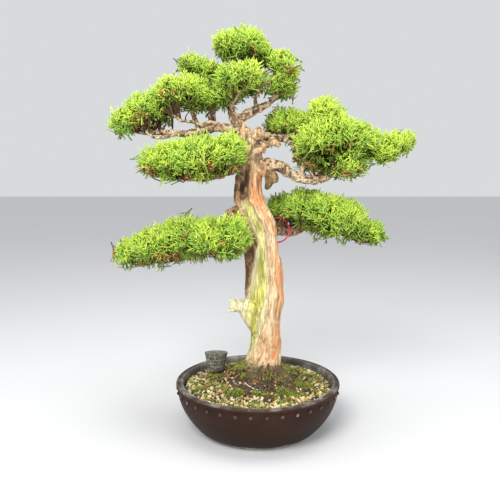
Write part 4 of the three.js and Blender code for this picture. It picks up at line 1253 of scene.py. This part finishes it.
# %% [markdown]
# ## Soil
#
# The soil bed is one turned solid that fills the bowl up to a mound round the trunk. It is only
# the dark ground. On it lie thousands of loose grains: pale pumice, tan baked clay and dark lava.
# Each grain is a twenty-sided stone, pushed out of shape and turned at random. More pale grains
# lie near the rim, and the mound stays dark.

# %% Soil bed
SOIL_LINE = np.array([(0, 97), (28, 94), (46, 84), (58, 74), (72, 69), (96, 66), (113.9, 62)])


def soil_height(x, y):
    return np.interp(np.hypot(x, y), SOIL_LINE[:, 0], SOIL_LINE[:, 1])


def soil_look():
    look = Look("soil")
    crumb = look.grains(420)
    cloud = look.noise(70, 4)
    colour = cloud.rise(0.35, 0.65).between((0.030, 0.018, 0.011), (0.085, 0.052, 0.030))
    colour = (crumb.rise(0.15, 0.6) * 0.5).between(colour, (0.17, 0.115, 0.068))
    return look.finish(Base_Color=colour, Roughness=0.9 + 0.05 * cloud,
                       Normal=look.bump(crumb + look.noise(300, 3), 0.002, 0.9))


def build_soil(sides=200):
    turn = np.arange(sides) * 2 * np.pi / sides
    inner = [(float(wall_radius(z)) - 9.1, z) for z in (19.6, 30, 44)]
    under = [(2.0, 14.5), (40.0, 14.5), (inner[0][0] - 8.0, 14.5)]
    line = under + inner + [(r, float(soil_height(r, 0))) for r in np.linspace(113.7, 1.0, 76)]
    r = np.array([p[0] for p in line])[:, None] + 0 * turn
    z = np.array([p[1] for p in line])[:, None] + 0 * turn
    x, y = r * np.cos(turn), r * np.sin(turn)
    top = np.arange(len(line))[:, None] >= 7
    flat = np.stack([x, y, 0 * x], -1)
    z = z + top * (1.5 * fractal(flat / 9, 3, 61) + 1.1 * fractal(flat / 3, 2, 67)) - top * 1.0
    points = np.stack([x, y, z], -1).reshape(-1, 3)
    quads, ends = grid_faces(len(line), sides)
    return np.vstack([points, [[0, 0, 14.5], [0, 0, 96]]]), quads, ends


soil_points, soil_quads, soil_ends = build_soil()
piece(mesh_object("soil_bed", soil_points, [soil_quads, soil_ends], soil_look()), "soil",
      "soil_mix")

# %% [markdown]
# The grains carry their colour in a UV map as the leaves do: u picks the kind of stone and v its
# shade, a random darkness per grain plus painted shade that darkens the lower side of each grain.

# %% Loose grains
def grain_look():
    look = Look("grains")
    uv = look.node("ShaderNodeUVMap", {"uv_map": "OFBake"})
    split = look.node("ShaderNodeSeparateXYZ", values={0: uv})
    u = Value(look, split.socket.node.outputs[0])
    v = Value(look, split.socket.node.outputs[1])
    kinds = [(0.20, (0.80, 0.72, 0.47)), (0.40, (0.72, 0.54, 0.20)), (0.60, (0.16, 0.095, 0.055)),
             (0.80, (0.66, 0.33, 0.09)), (1.01, (0.055, 0.048, 0.045))]
    colour = kinds[0][1]
    for (edge, _), (_, tint) in zip(kinds, kinds[1:]):
        colour = u.rise(edge - 0.004, edge + 0.004).between(colour, tint)
    # low v is darker: a random darkness per grain, and painted shade on its lower side
    dark = (1.0 - v.rise(0.0, 0.9)).clamp() * 0.62
    colour = dark.between(colour, (0.05, 0.032, 0.02))
    return look.finish(Base_Color=colour, Roughness=0.82 + 0.1 * v)


ico = bmesh.new()
bmesh.ops.create_icosphere(ico, subdivisions=1, radius=1.0)
STONE = np.array([v.co for v in ico.verts])
STONE_FACES = np.array([[v.index for v in f.verts] for f in ico.faces])
ico.free()


def random_turns(rng, count):
    q = unit(rng.normal(0, 1, (count, 4)))
    w, x, y, z = q.T
    return np.stack([np.stack([1 - 2 * (y * y + z * z), 2 * (x * y - z * w), 2 * (x * z + y * w)],
                              -1),
                     np.stack([2 * (x * y + z * w), 1 - 2 * (x * x + z * z), 2 * (y * z - x * w)],
                              -1),
                     np.stack([2 * (x * z - y * w), 2 * (y * z + x * w), 1 - 2 * (x * x + y * y)],
                              -1)], 1)


def scatter_grains(count=4300, seed=71):
    rng = np.random.default_rng(seed)
    out = np.sqrt(rng.uniform(0.02, 1, count)) * 110.4
    turn = rng.uniform(0, 2 * np.pi, count)
    x, y = out * np.cos(turn), out * np.sin(turn)
    mound = rise(-out + 14 * fractal(np.stack([x / 22, y / 22, 0 * x], -1), 2, 5) + 0.12 * x, -84,
                 -56)
    keep = rng.uniform(0, 1, count) > 0.55 * mound
    x, y, out, mound = x[keep], y[keep], out[keep], mound[keep]
    count = len(x)
    clear = (np.abs(x + 66) > 9) | (np.abs(y - 19) > 13)
    x, y, out, mound = x[clear], y[clear], out[clear], mound[clear]
    count = len(x)
    size = rng.uniform(1.5, 3.3, count) * (1 - 0.22 * mound)
    z = soil_height(x, y) + rng.uniform(-0.6, 1.5, count)
    pale = rng.choice([0.1, 0.3, 0.5, 0.7, 0.9], count, p=[0.36, 0.20, 0.15, 0.09, 0.20])
    dark = rng.choice([0.1, 0.3, 0.5, 0.7, 0.9], count, p=[0.07, 0.05, 0.48, 0.05, 0.35])
    kind = np.where(rng.uniform(0, 1, count) < mound, dark, pale) + rng.uniform(-0.07, 0.07, count)
    shade = rng.uniform(0.3, 0.95, count)
    lumps = 1 + rng.normal(0, 0.16, (count, len(STONE), 1))
    stones = (STONE[None] * lumps
              * rng.uniform([0.75, 0.75, 0.55], [1.15, 1.15, 0.95], (count, 3))[:, None])
    stones = np.einsum("npc,ncd->npd", stones, random_turns(rng, count)) * size[:, None, None]
    points = stones + np.stack([x, y, z], -1)[:, None]
    u = kind[:, None] + 0.012 * STONE[None, :, 0]
    # painted shade: the lower side of each grain is darker
    v = np.clip(shade[:, None] + 0.10 * stones[:, :, 2] / size[:, None], 0, 1)
    faces = (STONE_FACES[None] + (np.arange(count) * len(STONE))[:, None, None]).reshape(-1, 3)
    uv = np.stack([u, v], -1).reshape(-1, 2)
    return mesh_object("soil_grains", points.reshape(-1, 3), [faces], grain_look(), uv=uv,
                       smooth=False)


grains = piece(scatter_grains(), "soil", "soil_mix")
print("soil:", len(grains.data.polygons), "grain faces")

# %% [markdown]
# ## Moss
#
# Moss is a low cushion with a nap of tiny leaves. Seven patches sit on the soil, and small tufts
# fill the gaps between grains and climb the foot of the trunk.

# %% Moss patches
def moss_look():
    look = Look("moss")
    uv = look.node("ShaderNodeUVMap", {"uv_map": "OFBake"})
    split = look.node("ShaderNodeSeparateXYZ", values={0: uv})
    u = Value(look, split.socket.node.outputs[0])
    v = Value(look, split.socket.node.outputs[1])
    deep = v.between((0.030, 0.042, 0.010), (0.055, 0.062, 0.012))
    tip = v.between((0.135, 0.165, 0.030), (0.42, 0.47, 0.055))
    return look.finish(Base_Color=u.rise(0.05, 1.0).between(deep, tip), Roughness=0.82 + 0.1 * v)


MOSS_LOOK = moss_look()
MOSS = [(-34, -60, 17, 12, 7), (-62, 4, 13, 11, 5), (42, -56, 20, 14, 6), (72, -22, 16, 13, 5),
        (82, 24, 16, 12, 6), (-86, -34, 13, 10, 6), (-20, 62, 20, 13, 6)]


def moss_blades(rng, roots, normals, reach, tones):
    count = len(roots)
    heading = unit(normals + rng.normal(0, 0.45, (count, 3)) + [0, 0, 0.3])
    t = np.array([0, 0.6, 1.0])[None, :, None]
    curl = rng.normal(0, 0.16, (count, 1, 3))
    paths = (roots[:, None] + (heading[:, None] * t + curl * t ** 2)
             * np.asarray(reach)[:, None, None])
    radii = np.array([0.42, 0.5, 0.2])[None] * np.clip(np.asarray(reach)[:, None] / 2.6, 0.6, 1.3)
    points, quads, tips = many_tubes(paths, radii, 3)
    u = np.array([0.05, 0.6, 0.98])[None, :, None] + 0 * tones[:, None, None]
    v = tones[:, None, None] + np.array([-0.01, 0, 0.01])[None, None]
    return points, quads, tips, np.stack(np.broadcast_arrays(u, v), -1).reshape(-1, 2)


def build_moss(n, x, y, across, deep, height):
    rng = np.random.default_rng(800 + n)
    turn = np.arange(48) * 2 * np.pi / 48
    edge = 1 + 0.22 * fractal(np.stack([np.cos(turn) * 1.6 + 5 * n, np.sin(turn) * 1.6, 0 * turn],
                                       -1), 2, 9)
    levels = np.linspace(1, 0.03, 12)
    px = x + across * 0.92 * levels[:, None] * np.cos(turn) * edge
    py = y + deep * 0.92 * levels[:, None] * np.sin(turn) * edge
    bumps = 0.9 * fractal(np.stack([px / 4, py / 4, 0 * px], -1), 2, 33)
    pz = (soil_height(px, py) - 1.2 + (height * 0.72) * np.sqrt(1 - levels[:, None] ** 2 * 0.98)
          + bumps)
    shape = np.stack([px, py, pz], -1).reshape(-1, 3)
    quads, ends = grid_faces(12, 48)
    base = np.array([[x, y, float(soil_height(x, y)) - 3.0], [x, y, float(pz[-1].mean())]])
    count = int(across * deep * 2.0)
    ring = np.sqrt(rng.uniform(0, 1, count)) * 11
    spoke = rng.integers(0, 48, count)
    level = np.clip(11 - ring.astype(int), 0, 11)
    roots = shape.reshape(12, 48, 3)[level, spoke] + rng.normal(0, 0.5, (count, 3)) * [1, 1, 0.2]
    normals = unit(np.stack([(roots[:, 0] - x) / across, (roots[:, 1] - y) / deep, 0.8 + 0 * ring],
                            -1))
    tones = np.clip(0.45 + 0.4 * fractal(roots / 7, 2, 12) + rng.normal(0, 0.14, count), 0.03,
                    0.97)
    blades, blade_quads, blade_tips, uv = moss_blades(rng, roots, normals,
                                                      rng.uniform(1.6, 3.2, count), tones)
    start = len(shape) + 2
    mound_uv = np.stack([0.10 + 0.05 * np.sin(np.arange(start)),
                         0.5 + 0.2 * np.cos(np.arange(start))], -1)
    obj = mesh_object(f"moss_{n}", np.vstack([shape, base, blades]),
                      [quads, blade_quads + start, ends,
                      blade_tips + start], MOSS_LOOK, uv=np.vstack([mound_uv, uv]))
    return piece(obj, "moss", f"moss_patch_{n}")


for n, patch in enumerate(MOSS, 1):
    build_moss(n, *patch)

# %% [markdown]
# Tufts and fallen scraps make the soil look lived-in: green between the grains, short brown twigs
# and a few dead orange shoots.

# %% Tufts and fallen scraps
def scatter_tufts(seed=901):
    rng = np.random.default_rng(seed)
    centres = []
    for _ in range(210):
        out, turn = math.sqrt(rng.uniform(0.3, 1)) * 107, rng.uniform(0, 2 * np.pi)
        centres.append((out * math.cos(turn), out * math.sin(turn)))
    for n in range(130):
        out, turn = rng.uniform(24, 44), rng.normal((np.pi, 0.1)[n % 2], 0.7)
        centres.append((6 + out * math.cos(turn), out * math.sin(turn)))
    roots, tones, reach = [], [], []
    for x, y in centres:
        count = rng.integers(14, 46)
        spread = rng.uniform(1.2, 3.6)
        spots = np.array([x, y]) + rng.normal(0, spread, (count, 2))
        spots = spots[np.hypot(*spots.T) < 110]
        roots.append(np.column_stack([spots, soil_height(*spots.T) + 0.3]))
        tones.append(np.clip(rng.uniform(0.15, 0.95) + rng.normal(0, 0.1, len(spots)), 0.03, 0.97))
        reach.append(rng.uniform(1.6, 4.2, len(spots)))
    roots = np.vstack(roots)
    up = np.tile([0.0, 0.0, 1.0], (len(roots), 1))
    points, quads, tips, uv = moss_blades(rng, roots, up, np.concatenate(reach),
                                          np.concatenate(tones))
    return mesh_object("moss_tufts", points, [quads, tips], MOSS_LOOK, uv=uv)


def scatter_scraps(seed=911, count=420):
    rng = np.random.default_rng(seed)
    out = np.where(np.arange(count) % 3, rng.uniform(40, 107, count), rng.uniform(22, 46, count))
    turn = rng.uniform(0, 2 * np.pi, count)
    x, y = out * np.cos(turn), out * np.sin(turn)
    lift = rng.uniform(1.2, 3.4, count)
    heading = rng.uniform(0, 2 * np.pi, count)
    reach = rng.uniform(3, 11, count)
    t = np.linspace(-0.5, 0.5, 5)[None, :, None]
    along = np.stack([np.cos(heading), np.sin(heading), rng.normal(0, 0.08, count)], -1)
    paths = np.stack([x, y, 0 * x], -1)[:, None] + along[:, None] * t * reach[:, None, None]
    paths = paths + rng.normal(0, 0.5, paths.shape) * [1, 1, 0.4]
    paths[..., 2] += soil_height(paths[..., 0], paths[..., 1]) + lift[:, None]
    radii = np.array([0.5, 0.75, 0.7, 0.6, 0.3])[None] * rng.uniform(0.7, 1.5, (count, 1))
    points, quads, tips = many_tubes(paths, radii, 4)
    tone = rng.choice([0.80, 0.93], count, p=[0.72, 0.28])
    v = tone[:, None, None] + np.array([-0.01, 0, 0.01, 0])[None, None]
    bright = (np.where(tone > 0.9, 0.72, 0.18)[:, None, None]
              + np.linspace(-0.1, 0.15, 5)[None, :, None])
    uv = np.stack(np.broadcast_arrays(bright, v), -1).reshape(-1, 2)
    return mesh_object("fallen_scraps", points, [quads, tips[:, :3], tips[:, [0, 2, 3]]], LEAF,
                       uv=uv)


piece(scatter_tufts(), "moss", "moss_patch_1")
piece(scatter_scraps(), "leaf", "soil_mix")
print("moss, tufts and scraps laid")

# %% [markdown]
# ## Feed basket
#
# The basket is a moulded cup with rows of small round holes, a lid, and a stake that holds it up
# in the soil. Its own frame is easiest to work in: underside at the origin, then tilted a little
# and set down. The feed inside is a dozen lumpy pellets that show through the holes.

# %% Basket, lid, stake and pellets
TILT = math.radians(-8)
CUP_HEIGHT, CUP_TOP, CUP_FOOT = 27.0, 17.8, 13.0


def in_basket(points):
    x, y, z = np.asarray(points, float).T
    turned = np.stack([x, y * math.cos(TILT) - z * math.sin(TILT),
                       y * math.sin(TILT) + z * math.cos(TILT)], -1)
    return turned + [-66, 30, 77]


def lathe(profile, sides):
    profile = np.asarray(profile, float)
    turn = np.arange(sides) * 2 * np.pi / sides
    body = profile[1:-1]
    points = np.stack([body[:, :1] * np.cos(turn), body[:, :1] * np.sin(turn),
                       body[:, 1:] + 0 * turn], -1)
    caps = np.array([[0, 0, profile[0, 1]], [0, 0, profile[-1, 1]]])
    quads, ends = grid_faces(len(body), sides)
    return np.vstack([points.reshape(-1, 3), caps]), quads, ends


def moulded_look(name, dark, light, bump=0.0005):
    look = Look(name)
    cloud = look.noise(120, 3)
    dust = look.noise(330, 3).rise(0.5, 0.72)
    colour = cloud.rise(0.35, 0.65).between(dark, light)
    colour = (dust * 0.35).between(colour, tuple(min(1, 1.9 * c + 0.03) for c in light))
    return look.finish(Base_Color=colour, Roughness=0.42 + 0.25 * cloud,
                       Normal=look.bump(look.noise(700, 2), bump, 0.4))


BASKET = moulded_look("basket_plastic", (0.085, 0.088, 0.066), (0.24, 0.245, 0.20))
STAKE = moulded_look("stake_plastic", (0.42, 0.45, 0.45), (0.58, 0.61, 0.60))


def cup_radius(z):
    return CUP_FOOT + (CUP_TOP - CUP_FOOT) * z / CUP_HEIGHT


cup_shape, cup_quads, cup_ends = lathe([
    (0, 0), (CUP_FOOT - 1.2, 0), (CUP_FOOT - 0.2, 0.4), (cup_radius(1.2), 1.2),
    (cup_radius(24.4), 24.4),
    (cup_radius(24.6) + 0.35, 24.8), (cup_radius(26.6) + 0.35, 26.7), (CUP_TOP, 27),
    (CUP_TOP - 1.2, 27),
    (cup_radius(26) - 1.5, 26.4), (cup_radius(1.6) - 1.3, 1.6), (CUP_FOOT - 3, 1.3), (0, 1.3)], 96)
cup = mesh_object("basket_cup", in_basket(cup_shape), [cup_quads, cup_ends], BASKET)
punch_points, punch_quads, punch_ends, start = [], [], [], 0
for row, (z, radius) in enumerate(((5.2, 1.5), (10.4, 1.6), (15.6, 1.7), (20.8, 2.0))):
    for n in range(20):
        turn = 2 * np.pi * (n + (row % 2) / 2) / 20
        out = np.array([math.cos(turn), math.sin(turn), 0])
        line = np.array([out * (cup_radius(z) - 4), out * (cup_radius(z) + 3)]) + [0, 0, z]
        shape, squares, ends = tube(line, [radius, radius], 10)
        punch_points.append(shape)
        punch_quads.append(squares + start)
        punch_ends.append(ends + start)
        start += len(shape)
punch = mesh_object("punch", in_basket(np.vstack(punch_points)),
                    [np.vstack(punch_quads), np.vstack(punch_ends)],
                    BASKET)
cut = cup.modifiers.new("holes", "BOOLEAN")
cut.operation = "DIFFERENCE"
cut.object = punch
apply_modifiers(cup)
bpy.data.objects.remove(punch)
cup.data.polygons.foreach_set("use_smooth", np.full(len(cup.data.polygons), True))
cup.data.set_sharp_from_angle(angle=math.radians(30))
piece(cup, "basket_plastic", "feed_basket_cup")

lid_shape, lid_quads, lid_ends = lathe([
    (0, 25), (15.3, 25), (15.8, 25.2), (15.8, 27.35), (18.1, 27.35), (18.4, 27.7), (18.4, 28.5),
    (18.1, 28.9), (17.2, 29.1), (16.6, 28.75), (15.4, 28.75), (14.8, 29.1), (6, 29.5), (5.4, 29.2),
    (4.6, 29.2), (4, 29.55),
    (0, 29.6)], 72)
lid = mesh_object("basket_lid", in_basket(lid_shape), [lid_quads, lid_ends], BASKET)
lid.data.set_sharp_from_angle(angle=math.radians(35))
piece(lid, "basket_plastic", "feed_basket_lid")

stake_line = np.array([[0, 0, -0.4 - 45.8 * t]
                       for t in (0, 0.03, 0.06, 0.12, 0.3, 0.55, 0.8, 0.95, 1)])
stake_shape, stake_quads, stake_ends = tube(in_basket(stake_line),
                                            [3.2, 3.2, 1.9, 1.9, 1.7, 1.4, 1.05, 0.8, 0.5], 20)
stake = mesh_object("basket_stake", stake_shape, [stake_quads, stake_ends], STAKE)
stake.data.set_sharp_from_angle(angle=math.radians(40))
piece(stake, "stake_plastic", "feed_basket_stake")


def feed_look():
    look = Look("feed")
    cloud = look.noise(210, 4)
    colour = cloud.rise(0.35, 0.65).between((0.74, 0.44, 0.12), (0.93, 0.76, 0.40))
    return look.finish(Base_Color=colour, Roughness=0.8 + 0.1 * cloud,
                       Normal=look.bump(look.noise(600, 3), 0.001, 0.7))


FEED = feed_look()
ball = bmesh.new()
bmesh.ops.create_icosphere(ball, subdivisions=3, radius=1.0)
BALL = np.array([v.co for v in ball.verts])
BALL_FACES = np.array([[v.index for v in f.verts] for f in ball.faces])
ball.free()
for n in range(12):
    layer, quarter = divmod(n, 4)
    turn = (quarter + layer / 2) * math.pi / 2
    centre = np.array([(6.8 + 1.1 * layer) * math.cos(turn), (6.8 + 1.1 * layer) * math.sin(turn),
                       5.6 + 7.7 * layer])
    shape = BALL * (1 + 0.16 * fractal(BALL * 1.5 + 9 * n, 2, 15))[:, None] * [4.35, 4.35, 3.75]
    pellet = mesh_object(f"pellet_{n + 1}", in_basket(shape + centre), [BALL_FACES], FEED)
    piece(pellet, "feed", f"feed_pellet_{n + 1}")
print("basket filled with 12 pellets")

# %% [markdown]
# ## Wires, ring and screens
#
# The anchor wire ties the root ball to the bowl. The red ring is a loop of coated wire hung round
# the lower right branch. The screens and staples under the soil keep their CAD shapes, so they
# only need materials.

# %% Wires, ring and screens
def metal_look(name, dull, bright):
    look = Look(name)
    cloud = look.noise(300, 3)
    colour = cloud.rise(0.35, 0.7).between(dull, bright)
    return look.finish(Base_Color=colour, Metallic=0.6 + 0.4 * cloud, Roughness=0.35 + 0.3 * cloud)


ALUMINIUM = metal_look("aluminium", (0.58, 0.58, 0.56), (0.86, 0.86, 0.84))
WIRE = [(-34, -52.5, 85.5), (-31.5, -49, 82.5), (-31.5, -44, 77), (-32, -36, 66), (-31, -21, 48),
        (-30, -6, 32), (-30, 0, 20),
        (-30, 0, 8), (-28.4, 0, 4.0), (-23, 0, 3.8), (23, 0, 3.8), (28.4, 0, 4.0), (30, 0, 8),
        (30, 0, 20),
        (29, -14, 40), (26, -32, 56), (20, -44, 70), (10, -51, 75.5), (-4, -53, 76.5),
        (-15, -52, 82), (-19.5, -51, 86)]
wire_line = spline(WIRE, 8)
wire_shape, wire_quads, wire_ends = tube(wire_line, np.full(len(wire_line), 1.0), 14)
piece(mesh_object("tie_wire", wire_shape, [wire_quads, wire_ends], ALUMINIUM), "aluminium",
      "anchor_wire")


def coated_look():
    look = Look("red_coating")
    cloud = look.noise(160, 3)
    colour = cloud.rise(0.3, 0.7).between((0.58, 0.022, 0.055), (0.80, 0.075, 0.12))
    return look.finish(Base_Color=colour, Roughness=0.24 + 0.18 * cloud, Coat_Weight=0.5)


def build_ring(radius=19.0, wire=1.15, around=96, count=14):
    turn = np.arange(around) * 2 * np.pi / around
    bend = radius * (1 + 0.012 * np.sin(2 * turn + 0.6))
    centre = np.stack([bend * np.cos(turn), 0 * turn, bend * np.sin(turn)], -1)
    out = np.stack([np.cos(turn), 0 * turn, np.sin(turn)], -1)
    roll = np.arange(count) * 2 * np.pi / count
    offset = (out[:, None] * np.cos(roll)[None, :, None]
              + np.array([0, 1.0, 0]) * np.sin(roll)[None, :, None])
    points = (centre[:, None] + wire * offset).reshape(-1, 3)
    yaw = math.radians(-20)
    spun = np.stack([points[:, 0] * math.cos(yaw) - points[:, 1] * math.sin(yaw),
                     points[:, 0] * math.sin(yaw) + points[:, 1] * math.cos(yaw), points[:, 2]],
                     -1)
    step, slot = np.meshgrid(np.arange(around), np.arange(count), indexing="ij")
    after, beside = (step + 1) % around, (slot + 1) % count
    quads = np.stack([step * count + slot, step * count + beside, after * count + beside,
                      after * count + slot], -1)
    return spun + np.array(RING_AT), quads.reshape(-1, 4)


ring_points, ring_quads = build_ring()
piece(mesh_object("coated_ring", ring_points, [ring_quads], coated_look()), "red_coating",
      "tie_ring")

SCREEN = moulded_look("screen_plastic", (0.020, 0.026, 0.022), (0.045, 0.055, 0.048))
for name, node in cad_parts.items():
    if name.startswith("drain_screen"):
        node.material_slots[0].material = SCREEN
    elif name.startswith("screen_staple"):
        node.material_slots[0].material = ALUMINIUM
print("ring points:", len(ring_points))

# %% [markdown]
# ## Floor and finish
#
# The plant stands on a plain pale floor.

# %% Floor and finish
def floor_look():
    look = Look("floor")
    cloud = look.noise(1.5, 2)
    return look.finish(Base_Color=cloud.between((0.70, 0.70, 0.71), (0.74, 0.74, 0.75)),
                       Roughness=0.9 + 0.05 * cloud)


bpy.ops.mesh.primitive_plane_add(size=60, location=(0, 0, 0))
floor = bpy.context.active_object
floor.name = "floor"
floor.data.materials.append(floor_look())
